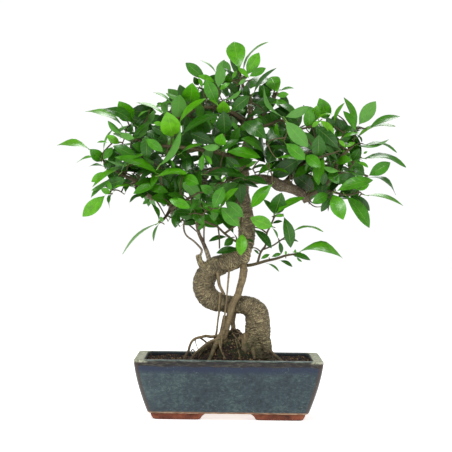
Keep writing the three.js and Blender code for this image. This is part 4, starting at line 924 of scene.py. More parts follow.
BOUGHS = {
    "crown_top": {
        "stems": [[(26, 0, 402, 3), (22, -4, 418, 2.2), (16, -8, 430, 1.8), (12, -4, 446, 1.4)]],
        "fill": {"sprays": 4, "middle": [10, 6, 418], "reach": [34, 34, 22]},
    },
    "crown_right": {
        "stems": [[(25, 1, 376, 3), (44, -2, 392, 2.4), (56, -4, 408, 1.8), (60, 0, 420, 1.4)]],
        "fill": {"sprays": 4, "middle": [48, 12, 400], "reach": [28, 36, 20]},
    },
    "crown_left": {
        "stems": [[(25, 1, 380, 3.2), (0, -12, 394, 2.8), (-34, -24, 398, 2.2), (-66, -28, 384, 1.6)]],
        "fill": {"sprays": 7, "middle": [-40, -4, 392], "reach": [44, 36, 24]},
    },
    "left_upper": {
        "stems": [
            [
                (19, 0, 330, 3.6), (-20, -18, 342, 3), (-60, -28, 346, 2.6), (-98, -26, 350, 2.2),
                (-134, -14, 362, 1.6),
            ],
        ],
        "fill": {"sprays": 8, "middle": [-90, -14, 350], "reach": [62, 34, 26]},
    },
    "left_outer": {
        "stems": [
            [(-97, -4, 282, 3), (-116, -10, 300, 2.6), (-140, -10, 312, 2.2), (-162, -6, 326, 1.6)],
            [(-140, -10, 312, 1.6), (-150, -10, 296, 1.4), (-154, -9, 286, 1.1)],
        ],
        "fill": {"sprays": 7, "middle": [-120, -8, 312], "reach": [38, 36, 20]},
    },
    "left_lower": {
        "stems": [
            [(-76, -2, 266, 2.2), (-82, -10, 256, 1.8), (-90, -18, 250, 1.3)],
            [(-76, -2, 266, 2.2), (-60, -26, 276, 2), (-40, -44, 288, 1.5)],
        ],
        "fill": {"sprays": 3, "middle": [-62, -18, 284], "reach": [26, 24, 14]},
    },
    "middle_low": {
        "stems": [
            [
                (18, -6, 224, 1.8), (6.7, -16, 228, 1.6), (-4.6, -22, 236.4, 1.5), (-15, -28, 245.6, 1.4),
                (-26, -34, 250, 1.4), (-34, -38, 256, 1.3), (-26, -44, 270, 1.2),
            ],
            [(-4.6, -22, 236.4, 1.5), (8, -34, 246, 1.4), (16, -38, 252, 1.2)],
            [(-13, -27, 243.8, 1.1), (-11.5, -24, 232, 1.1), (-11, -22, 217, 1)],
        ],
        "fill": {"sprays": 3, "middle": [-28, -22, 268], "reach": [24, 22, 12]},
    },
    "middle_front": {
        "stems": [[(16, -4, 308, 2.8), (2, -22, 316, 2.2), (-16, -36, 320, 1.8), (-32, -42, 312, 1.4)]],
        "fill": {"sprays": 6, "middle": [-28, -16, 312], "reach": [36, 26, 22]},
    },
    "right_upper": {
        "stems": [
            [
                (23, 1, 362, 3), (40, -8, 374, 2.4), (52, -16, 378, 2), (66, -26, 383, 1.6),
                (88, -34, 372, 1.5),
                (108, -44, 376, 1.2),
            ],
            [(88, -34, 372, 1.5), (104, -48, 352, 1.4), (112, -54, 334, 1.2)],
        ],
        "fill": {"sprays": 8, "middle": [92, -12, 362], "reach": [38, 34, 22]},
    },
    "right_outer": {
        "stems": [
            [
                (99, 0, 285, 3.2), (120, -10, 296, 2.8), (134, -16, 314, 2.6), (142, -18, 334, 2.2),
                (160, -14, 352, 1.8),
            ],
            [(120, -10, 296, 2), (136, -26, 291, 1.6), (152, -24, 288, 1.3), (170, -12, 292, 1.1)],
            [(134, -16, 314, 2), (160, -10, 318, 1.6), (180, -6, 313, 1.3)],
        ],
        "fill": {"sprays": 9, "middle": [134, -8, 338], "reach": [36, 34, 26]},
    },
    "right_low": {
        "stems": [
            [
                (19, -4, 196, 2.4), (27, -6, 195.4, 2.2), (38.5, -7, 198, 2), (49.7, -7, 201.5, 1.9),
                (63, -7, 204.6, 1.7),
                (75, -8, 208.7, 1.5), (88, -8, 211, 1.2),
            ],
            [
                (38.5, -7, 199, 1.6), (42.6, -9, 213, 1.5), (48.7, -11, 222, 1.4), (50, -13, 237.4, 1.3),
                (54, -15, 246, 1.2),
                (60, -17, 260, 1.1),
            ],
            [(45, -10, 216, 1.1), (58, -11, 221.5, 1), (66, -11, 227, 1), (84, -12, 240, 0.9)],
        ],
    },
    "right_inner": {
        "stems": [
            [(60, 0, 303, 3), (66, 6, 318, 2.4), (74, 10, 334, 2), (80, 14, 350, 1.6)],
            [(60, 0, 303, 2), (58, -16, 304, 1.6), (56, -32, 301, 1.2)],
        ],
        "fill": {"sprays": 6, "middle": [82, 20, 342], "reach": [30, 24, 18]},
    },
    "crown_back": {
        "stems": [[(25, 3, 366, 3), (14, 28, 384, 2.6), (-4, 44, 398, 2), (-24, 50, 404, 1.6)]],
        "fill": {"sprays": 9, "middle": [0, 38, 404], "reach": [46, 34, 24]},
    },
    "left_back": {
        "stems": [
            [(-40, 7, 298, 3.4), (-62, 28, 312, 3), (-86, 46, 324, 2.4), (-108, 54, 336, 1.8)],
            [(-62, 28, 312, 2), (-90, 34, 300, 1.8), (-122, 34, 304, 1.4)],
        ],
        "fill": {"sprays": 13, "middle": [-84, 46, 328], "reach": [60, 36, 34]},
    },
    "middle_back": {
        "stems": [[(17, 4, 318, 3), (0, 28, 322, 2.6), (-18, 44, 316, 2), (-26, 52, 298, 1.6)]],
        "fill": {"sprays": 8, "middle": [-20, 44, 304], "reach": [34, 30, 32]},
    },
    "right_back": {
        "stems": [
            [(70, 1, 300, 3.4), (86, 26, 318, 3), (104, 44, 336, 2.4), (124, 50, 352, 1.8)],
            [(86, 26, 318, 2), (112, 32, 312, 1.8), (138, 30, 314, 1.4)],
        ],
        "fill": {"sprays": 13, "middle": [108, 44, 342], "reach": [52, 36, 32]},
    },
}

DAYLIGHT = [
    [35, 357, 8], [51, 369, 5], [3, 364, 3.5], [27, 317, 6], [42, 331, 5], [27, 283, 10], [44, 275, 14],
    [60, 288, 12],
    [85, 288, 13], [104, 266, 14], [-48, 338, 3], [24, 396, 3],
]

# The dense part of the crown, as seen from the front.
CROWN = [
    (-162, 286), (-164, 340), (-150, 372), (-136, 398), (-97, 400), (-71, 416), (-50, 430), (-32, 440),
    (-8, 452),
    (6, 468), (24, 472), (42, 448), (62, 434), (74, 414), (86, 396), (111, 400), (140, 392), (163, 394),
    (176, 372),
    (172, 340), (176, 320), (178, 296), (160, 272), (130, 272), (108, 282), (88, 306), (60, 312), (44, 322),
    (34, 316),
    (24, 300), (14, 262), (4, 236), (-20, 246), (-44, 240), (-72, 254), (-92, 276), (-118, 292), (-132, 286),
]
CELL = 3.0  # of the grid that tells what a front view sees

LIMITS = {"left": -168, "right": 188, "top": 452, "fallOff": 0.0033, "bottom": 246, "front": -66, "back": 108}

# Swellings and side roots that belong to a limb.
TRUNK_KNOTS = [
    [(14, -3, 198, 7), (21, -6, 205, 8), (24, -7, 218, 6.5), (25, -8, 234, 4)],
    [(-34, -5, 158, 9), (-36, -6, 168, 9.5), (-33, -5, 178, 8)],
    [(30, -8, 100, 8), (26, -14, 86, 6), (23, -18, 70, 3.5)],
    [(46, -10, 108, 8), (50, -12, 92, 8), (54, -15, 76, 5)],
    [(14, -5, 300, 7), (16, -8, 292, 7), (19, -8, 280, 6)],
]
ROOTLETS = {
    "prop_root": [
        [(-12.5, -18, 92, 1.1), (-10, -20, 81, 0.9), (-5, -22, 70, 0.8)],
        [(20, -8, 196, 5), (20.5, -12, 188, 5), (18.5, -14, 178, 4.4)],
        [
            (10, -15, 152, 3.4), (4, -16, 132, 3.8), (0, -16, 116, 3.8), (-3, -15, 102, 3.4),
            (-5, -12, 90, 2.6),
        ],
        [
            (-1, -17, 118, 2.6), (-7, -20, 107, 3.6), (-13, -23, 97, 3.4), (-17, -27, 87, 2.7),
            (-21, -33, 77, 2.2), (-27, -41, 68, 1.6),
        ],
        [(-9, -22, 102, 1.6), (-9, -26, 92, 1.5), (-6, -30, 83, 1.2), (-1, -34, 75, 1)],
    ],
    "root_mass": [
        [(25, -8, 107, 4.4), (23, -13, 97, 4), (21.5, -16, 87, 3.6), (20, -18, 76, 2.6)],
        [(8, 3, 112, 3), (5, 0, 100, 5), (3, -2, 84, 5), (2, -4, 70, 4)],
        [(-1, -10, 99.5, 1.4), (1.8, -14, 88, 1.2), (3, -16, 70, 1)],
        [(14, -6, 96, 3.5), (16, -13, 86, 3), (12, -20, 76, 2)],
        [(28, -6, 96, 5), (34, -16, 84, 3.4), (36, -24, 74, 2)],
    ],
    "surface_root_arched": [
        [(-36, -14, 102, 1.2), (-28, -10, 96, 1.1), (-22, -8, 88, 1), (-18, -6, 74, 0.9)],
        [(-41, -16, 99, 0.8), (-39.5, -16, 92, 0.7), (-37, -16, 86, 0.7), (-36, -16, 74, 0.7)],
    ],
    "surface_root_low": [
        [(-16, -24, 99, 1.6), (-24, -22, 92, 1.4), (-32, -21, 84, 1.3), (-38, -20, 72, 1.1)],
        [
            (-41, -27, 80, 0.9), (-41.5, -27, 84.5, 0.9), (-44, -27, 86.8, 0.9), (-46.2, -27, 84, 0.9),
            (-45, -27, 80, 0.9),
        ],
    ],
}
KNOBS = {
    "branch_right": [
        [(52, -3, 306, 5.5), (58, -5, 305, 7), (64, -4, 300, 6)],
        [(70, 2, 300, 5), (76, 2, 303, 5.5), (80, 0, 297, 5)],
        [(90, -2, 293, 6), (95, -3, 289, 6.6), (99, -2, 283, 5.5)],
    ],
}

# Fine dry twigs, in brushes.
DRY_TWIGS = [
    [(-104, -5, 290, 0.9), (-112, -12, 300, 0.8), (-128, -16, 309, 0.5)],
    [(-106, -6, 291, 0.9), (-114, -10, 304, 0.8), (-124, -12, 316, 0.5)],
    [(-108, -8, 292, 0.8), (-120, -14, 298, 0.7), (-134, -16, 301, 0.5)],
    [(-104, -4, 289, 0.8), (-108, -12, 302, 0.7), (-112, -16, 315, 0.5)],
    [(99, -4, 286, 0.9), (101, -8, 294, 0.8), (100, -10, 304, 0.5)],
    [(101, -4, 286, 0.9), (106, -8, 295, 0.8), (110, -10, 303, 0.5)],
    [(78, -5, 300, 0.9), (79, -10, 312, 0.8), (77, -12, 326, 0.5)],
    [(80, -5, 299, 0.8), (83, -10, 311, 0.7), (84, -12, 322, 0.5)],
    [(103, -3, 281, 0.9), (112, -8, 276.5, 0.8), (124, -12, 277.5, 0.5)],
    [(103, -3, 279, 0.9), (112, -7, 272.5, 0.8), (123, -10, 272.8, 0.5)],
    [(-76, -4, 264, 0.9), (-79, -12, 258, 0.8), (-84, -14, 252, 0.6)],
]

# ---------------------------------------------------------------- pot and feet


def wall_inset(z):
    return POT_TAPER * (max(0, RIM_HEIGHT - z) / (RIM_HEIGHT - FOOT_HEIGHT)) ** BOW_POWER


def pot_ring(z, margin, corner):
    """A ring round the pot at one height, drawn in from its outside by the margin."""
    inset = wall_inset(z) + margin
    outline = rounded_outline(POT_LENGTH / 2 - inset, POT_DEPTH / 2 - inset, corner)
    return [Vector((POT_SHIFT + x, y, z)) for x, y in outline]


def between(low, high, count):
    return [low + (high - low) * i / count for i in range(count + 1)]


def rod(radius, low, high, x, y, sides=32):
    """A closed upright cylinder's points and faces."""
    turns = [2 * math.pi * k / sides for k in range(sides)]
    rings = [
        [Vector((x + radius * math.cos(t), y + radius * math.sin(t), z)) for t in turns] for z in (low, high)
    ]
    return loft(rings)


def make_pot():
    floor_top = FOOT_HEIGHT + FLOOR_THICKNESS
    rings = [
        pot_ring(FOOT_HEIGHT, 3, 7), pot_ring(FOOT_HEIGHT + 0.5, 1.4, 8), pot_ring(FOOT_HEIGHT + 1.4, 0.5, 9),
    ]
    rings += [pot_ring(z, 0, RIM_CORNER) for z in between(FOOT_HEIGHT + 3, RIM_HEIGHT - 2, 14)]
    lip = [
        (0.9, 0.15), (0.35, 0.7), (0.05, 1.7), (0, 3.5), (0, 7), (0, LIP_WIDTH - 2), (0.2, LIP_WIDTH - 0.9),
    ]
    lip += [
        (0.7, LIP_WIDTH - 0.2), (1.4, LIP_WIDTH), (LIP_THICKNESS - 1, LIP_WIDTH),
        (LIP_THICKNESS, LIP_WIDTH - 0.6),
    ]
    rings += [pot_ring(RIM_HEIGHT - down, margin, RIM_CORNER - min(margin, 3)) for down, margin in lip]
    rings += [
        pot_ring(z, WALL_THICKNESS, WELL_CORNER)
        for z in between(RIM_HEIGHT - LIP_THICKNESS, floor_top + 3, 8)
    ]
    rings += [pot_ring(floor_top, WALL_THICKNESS + 3, WELL_CORNER)]
    pot = new_object("glazed_pot", *loft(rings), [GLAZE])
    holes = []
    for side in (-1, 1):
        x = POT_SHIFT + side * DRAIN_SPACING / 2
        holes.append(rod(DRAIN_RADIUS, FOOT_HEIGHT - 1, floor_top + 1, x, 0))
        for end in (-1, 1):
            holes.append(rod(1.2, FOOT_HEIGHT - 1, floor_top + 1, x, end * (DRAIN_RADIUS + 3), 12))
    cutter = new_object("holes", *merged(holes), [GLAZE])
    with_modifier(pot, "BOOLEAN", object=cutter, operation="DIFFERENCE", solver="EXACT")
    pot = made_plain(pot)
    bpy.data.objects.remove(cutter)
    paint_inside(pot)
    pot.data.set_sharp_from_angle(angle=math.radians(38))
    return pot


def paint_inside(pot):
    """Marks the inner walls, which the glaze finish colours darker, and the upright corners, where the glaze
    breaks brown.
    """
    inner = pot.data.attributes.new("inside", "FLOAT", "POINT")
    corner = pot.data.attributes.new("corner", "FLOAT", "POINT")
    for vertex, item, edge in zip(pot.data.vertices, inner.data, corner.data):
        x, y, z = vertex.co * 1000 - ORIGIN
        margin = wall_inset(z) + 4
        within = abs(x - POT_SHIFT) < POT_LENGTH / 2 - margin and abs(y) < POT_DEPTH / 2 - margin
        item.value = 1.0 if within and FOOT_HEIGHT + 4 < z < RIM_HEIGHT - 0.6 else 0.0
        inset = RIM_CORNER + wall_inset(z)
        out_x, out_y = abs(x - POT_SHIFT) - POT_LENGTH / 2 + inset, abs(y) - POT_DEPTH / 2 + inset
        if not within and min(out_x, out_y) > 0.5:
            edge.value = (2 * out_x * out_y / (out_x**2 + out_y**2)) ** 2


def make_foot(name, sign_x, sign_y):
    """A low clay foot, with its outer edges rounded and its inner ends hollowed."""
    far_x = POT_LENGTH / 2 - POT_TAPER - 3.5
    far_y = POT_DEPTH / 2 - POT_TAPER - 3.5
    length, depth, hollow, drop = 71, 38, 11.2, 3
    top = FOOT_HEIGHT - GAP
    rings = []
    for z in [0, 0.15, 0.5, 1.1, 2, 3, 4, 5, 6, 6.9, 7.4, top]:
        rounding = 1.1 * (1 - min(1, z / 1.1)) ** 2 + 3.6 * (1 - z / top) ** 1.6
        curve = math.sqrt(max(0, hollow**2 - (z + drop) ** 2))
        ends_x = (far_x - length - drop + curve + 1.1 * (1 - min(1, z / 1.1)) ** 2, far_x - rounding)
        ends_y = (far_y - depth - drop + curve + 1.1 * (1 - min(1, z / 1.1)) ** 2, far_y - rounding)
        half_x, half_y = (ends_x[1] - ends_x[0]) / 2, (ends_y[1] - ends_y[0]) / 2
        mid_x, mid_y = sign_x * sum(ends_x) / 2, sign_y * sum(ends_y) / 2
        outline = rounded_outline(half_x, half_y, 6.5, 8, 10)
        rings.append([Vector((POT_SHIFT + mid_x + x, mid_y + y, z)) for x, y in outline])
    foot = new_object(name, *loft(rings), [CLAY])
    foot.data.set_sharp_from_angle(angle=math.radians(50))
    return foot


finish_piece(make_pot(), "glaze", "pot")
for side, sign_x in (("left", -1), ("right", 1)):
    for end, sign_y in (("front", -1), ("back", 1)):
        finish_piece(make_foot(f"clay_foot_{end}_{side}", sign_x, sign_y), "foot_clay", f"foot_{end}_{side}")

# ---------------------------------------------------------------- soil


def soil_height(x, y):
    """The soil's surface: lumpy, a little lower along the wall, and heaped round the trunk and its roots."""
    mound_x, mound_y, half_x, half_y, height = MOUND
    away = ((x - mound_x) / half_x) ** 2 + ((y - mound_y) / half_y) ** 2
    heap = height * max(0, 1 - away) ** 0.9
    for heap_x, heap_y, wide, deep, high in HEAPS:
        heap += high * math.exp(-(((x - heap_x) / wide) ** 2) - ((y - heap_y) / deep) ** 2)
    lumps = noise.noise(Vector((x, y, 0)) / 21) * 2.2 + noise.noise(Vector((x, y, 7)) / 7) * 1.3
    crumbs = noise.noise(Vector((x, y, 3)) / 2.6) * 0.8
    edge = min(POT_LENGTH / 2 - LIP_WIDTH - abs(x - POT_SHIFT), POT_DEPTH / 2 - LIP_WIDTH - abs(y))
    return SOIL_TOP - 1.4 + heap + lumps + crumbs - 1.6 * math.exp(-max(edge, 0) / 5)


def soil_top(step):
    """Points and faces of the surface of the soil, in a grid that fills the mouth of the pot."""
    half_x = POT_LENGTH / 2 - LIP_WIDTH - GAP - 0.3
    half_y = POT_DEPTH / 2 - LIP_WIDTH - GAP - 0.3
    across, deep = round(2 * half_x / step), round(2 * half_y / step)
    points = []
    for j in range(deep + 1):
        for i in range(across + 1):
            x, y = -half_x + 2 * half_x * i / across, -half_y + 2 * half_y * j / deep
            inner_x, inner_y = half_x - WELL_CORNER, half_y - WELL_CORNER
            out = Vector((max(0, abs(x) - inner_x), max(0, abs(y) - inner_y)))
            if out.x > 0 and out.y > 0 and out.length > WELL_CORNER:
                out *= WELL_CORNER / out.length
                x, y = math.copysign(inner_x + out.x, x), math.copysign(inner_y + out.y, y)
            points.append(Vector((POT_SHIFT + x, y, soil_height(POT_SHIFT + x, y))))
    faces = []
    for j in range(deep):
        for i in range(across):
            a = j * (across + 1) + i
            faces.append((a, a + 1, a + across + 2, a + across + 1))
    border = list(range(across)) + [j * (across + 1) + across for j in range(deep)]
    border += [deep * (across + 1) + i for i in range(across, 0, -1)]
    border += [j * (across + 1) for j in range(deep, 0, -1)]
    return points, faces, border


def make_soil():
    points, faces, border = soil_top(1.7)
    start = len(points)
    points += [Vector((points[i].x, points[i].y, 30)) for i in border]
    for k in range(len(border)):
        after = (k + 1) % len(border)
        faces.append((border[after], border[k], start + k, start + after))
    faces.append(tuple(reversed(range(start, start + len(border)))))
    return new_object("soil_body", points, faces, [SOIL])


def grain_kinds():
    """Six lumps of few faces each, to be scattered."""
    kinds = bpy.data.collections.new("Grain kinds")
    for kind in range(6):
        lump = bmesh.new()
        bmesh.ops.create_icosphere(lump, subdivisions=1, radius=0.001)
        for vertex in lump.verts:
            vertex.co *= 1 + 0.45 * noise.noise(vertex.co * 900 + Vector((kind * 5.3, 0, 0)))
            vertex.co.z *= 0.75
        mesh = bpy.data.meshes.new(f"grain {kind}")
        lump.to_mesh(mesh)
        lump.free()
        kinds.objects.link(bpy.data.objects.new(f"grain {kind}", mesh))
    return kinds


def scatter_grains():
    points, faces, _ = soil_top(3)
    ground = new_object("grains", points, faces, [])
    sizes = {"Per_Square_Metre": 210000.0, "Least_Size": 0.5, "Greatest_Size": 2.1, "Seed": 11}
    kinds = grain_kinds()
    grains = grain_growth().applied(ground, Grains=kinds, Skin=GRAINS, **sizes)
    for lump in list(kinds.objects):
        bpy.data.objects.remove(lump)
    bpy.data.collections.remove(kinds)
    return grains


def fine_roots(count, chance):
    """Thin surface roots that creep down the heap from the foot of the tree."""
    lines = []
    for _ in range(count):
        turn = chance.uniform(0, 2 * math.pi)
        x, y = chance.uniform(-24, 20) + 6 * math.cos(turn), chance.uniform(-10, 6) + 6 * math.sin(turn)
        thick = chance.uniform(0.35, 1.0)
        line = []
        for k in range(chance.randint(5, 9)):
            line.append((x, y, soil_height(x, y) + thick * (0.5 if k else 3), thick * (1 - k * 0.07)))
            turn += chance.uniform(-0.5, 0.5)
            x, y = x + 5 * math.cos(turn), y + 5 * math.sin(turn)
            if abs(x - POT_SHIFT) > 100 or abs(y) > 70:
                break
        if len(line) > 2:
            lines.append(line)
    return lines


finish_piece(joined([make_soil(), scatter_grains()], "bonsai_soil"), "soil", "soil")

# ---------------------------------------------------------------- trunk, roots and branches


def unroll(obj, line):
    """Gives each vertex its place along and round the limb, so that bark lines can follow the bends."""
    rings = smooth_line(line, 1.0)
    tree = KDTree(len(rings))
    frames, length = [], 0.0
    normal = Vector((0.3, -1, 0.2)).normalized()
    for i, (centre, _) in enumerate(rings):
        tree.insert(centre, i)
        before, after = rings[max(i - 1, 0)][0], rings[min(i + 1, len(rings) - 1)][0]
        tangent = (after - before).normalized()
        normal = (normal - tangent * tangent.dot(normal)).normalized()
        frames.append((centre, tangent, normal, tangent.cross(normal), length))
        length += (after - centre).length
    tree.balance()
    places = []
    for vertex in obj.data.vertices:
        point = vertex.co * 1000 - ORIGIN
        centre, tangent, normal, across, along = frames[tree.find(point)[1]]
        away = point - centre
        places.append(Vector((along + away.dot(tangent), away.dot(normal), away.dot(across))))
    return places


def keep_attribute(obj, name, kind, values):
    attribute = obj.data.attributes.new(name, kind, "POINT")
    if kind == "FLOAT":
        attribute.data.foreach_set("value", values)
    else:
        attribute.data.foreach_set("vector", [c for value in values for c in value])


def bark_relief(place, lumps, wrinkles, creases):
    """How far the bark stands out at an unrolled place: lumps, wrinkles across the limb and creases."""
    along, front, side = place
    broad = noise.noise(Vector((along / 26, front / 15, side / 15)))
    fine = noise.fractal(Vector((along / 3.1, front / 13, side / 13)), 1.0, 2.0, 3)
    crack = abs(noise.noise(Vector((along / 9.5 + 5, front / 26, side / 26))))
    return lumps * broad + wrinkles * fine - creases * max(0, 1 - crack * 9)


def make_wood(name, line, more, voxel, material, lumps=0.3, wrinkles=0.15, creases=0.0, step=2.5):
    wood = grown_wood(name, [line, *more], voxel, material, step=step)
    places = unroll(wood, line)
    relief = [bark_relief(place, lumps, wrinkles, creases) for place in places]
    mesh = wood.data
    normals = [normal.vector.copy() for normal in mesh.vertex_normals]
    for vertex, normal, out in zip(mesh.vertices, normals, relief):
        vertex.co += normal * out / 1000
    keep_attribute(wood, "unrolled", "FLOAT_VECTOR", [place / 1000 for place in places])
    spread = lumps + wrinkles + creases
    keep_attribute(wood, "ridge", "FLOAT", [min(1, max(0, 0.5 + 0.6 * out / spread)) for out in relief])
    return wood


trunk_details = [CUT_STUB, ROOT_FLARE, BACK_FLARE, *TRUNK_KNOTS]
trunk = make_wood("trunk_wood", TRUNK, trunk_details, 0.85, TRUNK_BARK, lumps=0.9, wrinkles=0.7, creases=1.1)
finish_piece(trunk, "bark", "trunk")

for name, line in ROOTS.items():
    swell = {"prop_root": 1.16, "surface_root_right": 0.7}.get(name, 1)
    line = [(x, y, z, radius * swell) for x, y, z, radius in line]
    voxel = 0.8 if line[0][3] > 6 else 0.45
    wood = make_wood(
        name + "_wood", line, ROOTLETS.get(name, []), voxel, ROOT_BARK, lumps=0.35, wrinkles=0.16, step=1.5,
    )
    finish_piece(wood, "root", name)

branch_details = {"branch_left": [LEFT_SPUR], "riser": [RISER_FORK]}
for name, line in BRANCHES.items():
    thick = line[0][3] > 4
    more = branch_details.get(name, []) + KNOBS.get(name, [])
    wood = make_wood(
        name + "_wood", line, more, 0.7 if thick else 0.42, BRANCH_BARK,
        lumps=0.7 if thick else 0.25, wrinkles=0.3 if thick else 0.12, creases=0.25 if thick else 0,
    )
    finish_piece(wood, "bark", name)

creeping = stem_growth().applied(
    curve_of("fine_roots", fine_roots(46, random.Random(5))), Sides=6, Bark=ROOT_BARK,
)
keep_attribute(creeping, "unrolled", "FLOAT_VECTOR", [vertex.co.copy() for vertex in creeping.data.vertices])
finish_piece(creeping, "root")

# ---------------------------------------------------------------- leafy boughs

BLADE_STATIONS = [
    (0, 0.04), (0.07, 0.22), (0.17, 0.53), (0.31, 0.84), (0.46, 0.98), (0.59, 1.0), (0.73, 0.86),
    (0.85, 0.58),
    (0.94, 0.28), (1, 0.03),
]
BLADE_ARCHES = [0.03, 0.08, 0.14, 0.21]
BLADE_PROPORTION = 0.42
THICKNESS = 0.009  # over the length of the blade
SHOWN_WIDTH = 0.7  # of a blade's width that is counted as closing the view
MOST_HIDDEN = 0.22  # of a new leaf that may lie before leaves set one by one
MOST_OUTSIDE = 0.12  # of an inner leaf that may lie outside the crown
LEAST_NEW = 0.1  # of an inner leaf that has to close a gap
INNER_TRIES = 9000
SPRAY_CLEARANCE = 7
INNER_CLEARANCE = 3.8
BEFORE_WOOD = (-42, -16)  # depth of the leaves that hang before the trunk and the left branch
STUB_BOX = {"left": -115, "right": -65, "bottom": 275, "top": 330}  # the thick end of the left branch
TINTS = {"b": 0.62, "m": 0.46, "d": 0.24, "p": 0.52, "l": 0.7, "o": 0.36}


def leaf_kind(number, arch):
    """One blade, a unit long and wide: ten stations of five points above and one below, and a stalk."""
    points, faces, corners = [], [], []
    wave = 0.018 * (number % 3 - 1)
    for t, width in BLADE_STATIONS:
        rise = arch * math.sin(math.pi * min(t, 1) ** 0.92)
        for k, share in enumerate((-1, -0.5, 0, 0.5, 1)):
            fold = 0.055 * abs(share) * width - 0.018 * share * share * width
            ripple = wave * share * math.sin(t * 9)
            lift = THICKNESS / 2 if abs(share) < 1 else 0
            points.append((t, share * width / 2, rise + fold + ripple + lift))
        points.append((t, 0, rise - THICKNESS / 2))
    for i in range(len(BLADE_STATIONS) - 1):
        a, b = i * 6, i * 6 + 6
        v = (BLADE_STATIONS[i][0], BLADE_STATIONS[i + 1][0])
        for k in range(4):
            faces.append((a + k, b + k, b + k + 1, a + k + 1))
            corners.append([(k / 8, v[0]), (k / 8, v[1]), (k / 8 + 0.125, v[1]), (k / 8 + 0.125, v[0])])
        faces.append((a, a + 5, b + 5, b))
        corners.append([(0.5, v[0]), (0.75, v[0]), (0.75, v[1]), (0.5, v[1])])
        faces.append((a + 5, a + 4, b + 4, b + 5))
        corners.append([(0.75, v[0]), (1, v[0]), (1, v[1]), (0.75, v[1])])
    for row, order in ((0, (0, 1, 2, 3, 4, 5)), (len(BLADE_STATIONS) - 1, (5, 4, 3, 2, 1, 0))):
        faces.append(tuple(row * 6 + k for k in order))
        corners.append([(0.25, float(row > 0))] * 6)
    start = len(points)
    for x, lift, size in ((-0.14, -0.012, 0.013), (0.05, 0.0, 0.011)):
        points += [(x, size * math.cos(turn), lift + size * math.sin(turn)) for turn in (0, 2.094, 4.189)]
    for k in range(3):
        a, b = start + k, start + (k + 1) % 3
        faces.append((a, b, b + 3, a + 3))
        corners.append([(0.25, 0)] * 4)
    faces += [(start + 2, start + 1, start), (start + 3, start + 4, start + 5)]
    corners += [[(0.25, 0)] * 3] * 2
    mesh = bpy.data.meshes.new(f"leaf {number}")
    mesh.from_pydata(points, [], faces)
    layer = mesh.uv_layers.new(name="UVMap")
    layer.data.foreach_set("uv", [c for face in corners for corner in face for c in corner])
    mesh.polygons.foreach_set("use_smooth", [True] * len(mesh.polygons))
    mesh.set_sharp_from_angle(angle=math.radians(75))
    return mesh


def leaf_kinds():
    kinds = bpy.data.collections.new("Leaf kinds")
    for number, arch in enumerate(BLADE_ARCHES):
        mesh = leaf_kind(number, arch)
        kinds.objects.link(bpy.data.objects.new(mesh.name, mesh))
    return kinds


def random_direction(chance):
    z = chance.uniform(-1, 1)
    turn = chance.uniform(0, 2 * math.pi)
    ring = math.sqrt(1 - z * z)
    return Vector((ring * math.cos(turn), ring * math.sin(turn), z))


def set_leaf(row):
    """A leaf that was set one by one. One that shows short for its width leans to the front, or to the back
    if it grows there, and one that shows narrow is seen on its edge."""
    foot_x, foot_z, tip_x, tip_z, width, y, *arch, mark = row
    across, up = tip_x - foot_x, tip_z - foot_z
    shown = math.hypot(across, up)
    length = max(shown, width / (BLADE_PROPORTION + 0.08))
    lean = math.sqrt(max(0, length * length - shown * shown)) * (-1 if y < 0 else 1)
    true_width = max(width, BLADE_PROPORTION * length)
    facing = min(1, width / true_width)
    flip = -1 if across < 0 else 1
    edge = Vector((-up / shown * flip, 0, across / shown * flip))
    face = edge * math.sqrt(1 - facing * facing) + Vector((0, -facing, 0))
    if mark == "p":
        face = -face
    foot, tip = Vector((foot_x, y - lean / 2, foot_z)), Vector((tip_x, y + lean / 2, tip_z))
    return {
        "foot": foot, "tip": tip, "face": face, "width": true_width, "arch": (arch or [0.08])[0],
        "tint": TINTS[mark],
    }


def clear_of_daylight(leaf):
    middle = (leaf["foot"] + leaf["tip"]) / 2
    for p in (leaf["foot"], middle, leaf["tip"]):
        if not (LIMITS["left"] < p.x < LIMITS["right"] and LIMITS["front"] < p.y < LIMITS["back"]):
            return False
        if not LIMITS["bottom"] < p.z < LIMITS["top"] - LIMITS["fallOff"] * p.x * p.x:
            return False
        if any(math.hypot(p.x - x, p.z - z) < r + leaf["width"] * 0.3 for x, z, r in DAYLIGHT):
            return False
    return True


def rib_points(leaf):
    return [leaf["foot"].lerp(leaf["tip"], share) for share in (0.4, 0.7, 1)]


def filled_leaves(fill, chance, ribs, fronts):
    """Sprays of leaves round buds in a bough's space, each leaf clear of the others."""
    leaves = []
    for _ in range(fill["sprays"]):
        out = random_direction(chance)
        depth = chance.uniform(0.35, 0.95)
        bud = Vector(fill["middle"]) + Vector(c * r for c, r in zip(out, fill["reach"])) * depth
        for _ in range(chance.randint(4, 7)):
            along = (random_direction(chance) * 0.9 + out * 0.5 + Vector((0, 0, 0.15))).normalized()
            length = chance.uniform(27, 44)
            face = random_direction(chance) * 0.4 + out * 0.5 + Vector((0, 0, 0.8))
            leaf = {
                "foot": bud + along * 4,
                "tip": bud + along * (4 + length),
                "face": face,
                "width": length * chance.uniform(0.4, 0.52),
                "arch": chance.uniform(0.05, 0.15),
                "tint": chance.choice([0.2, 0.28, 0.34, 0.4, 0.48, 0.56]),
                # painted shade, stronger for a leaf nearer the middle of its bough
                "shade": chance.uniform(0, 0.12) + 0.4 * (1 - depth),
            }
            own = rib_points(leaf)
            hides = hides_set(shown_cells(leaf), own[0].y, fronts)
            if not hides and all(
                (p - q).length > SPRAY_CLEARANCE for p in own for q in ribs
            ) and clear_of_daylight(leaf):
                leaves.append(leaf)
                ribs.extend(own)
    return leaves


def hides_set(cells, depth, fronts):
    """Whether a leaf at this depth would cover much of the leaves set one by one behind it."""
    return sum(fronts.get(cell, depth) > depth for cell in cells) > len(cells) * MOST_HIDDEN


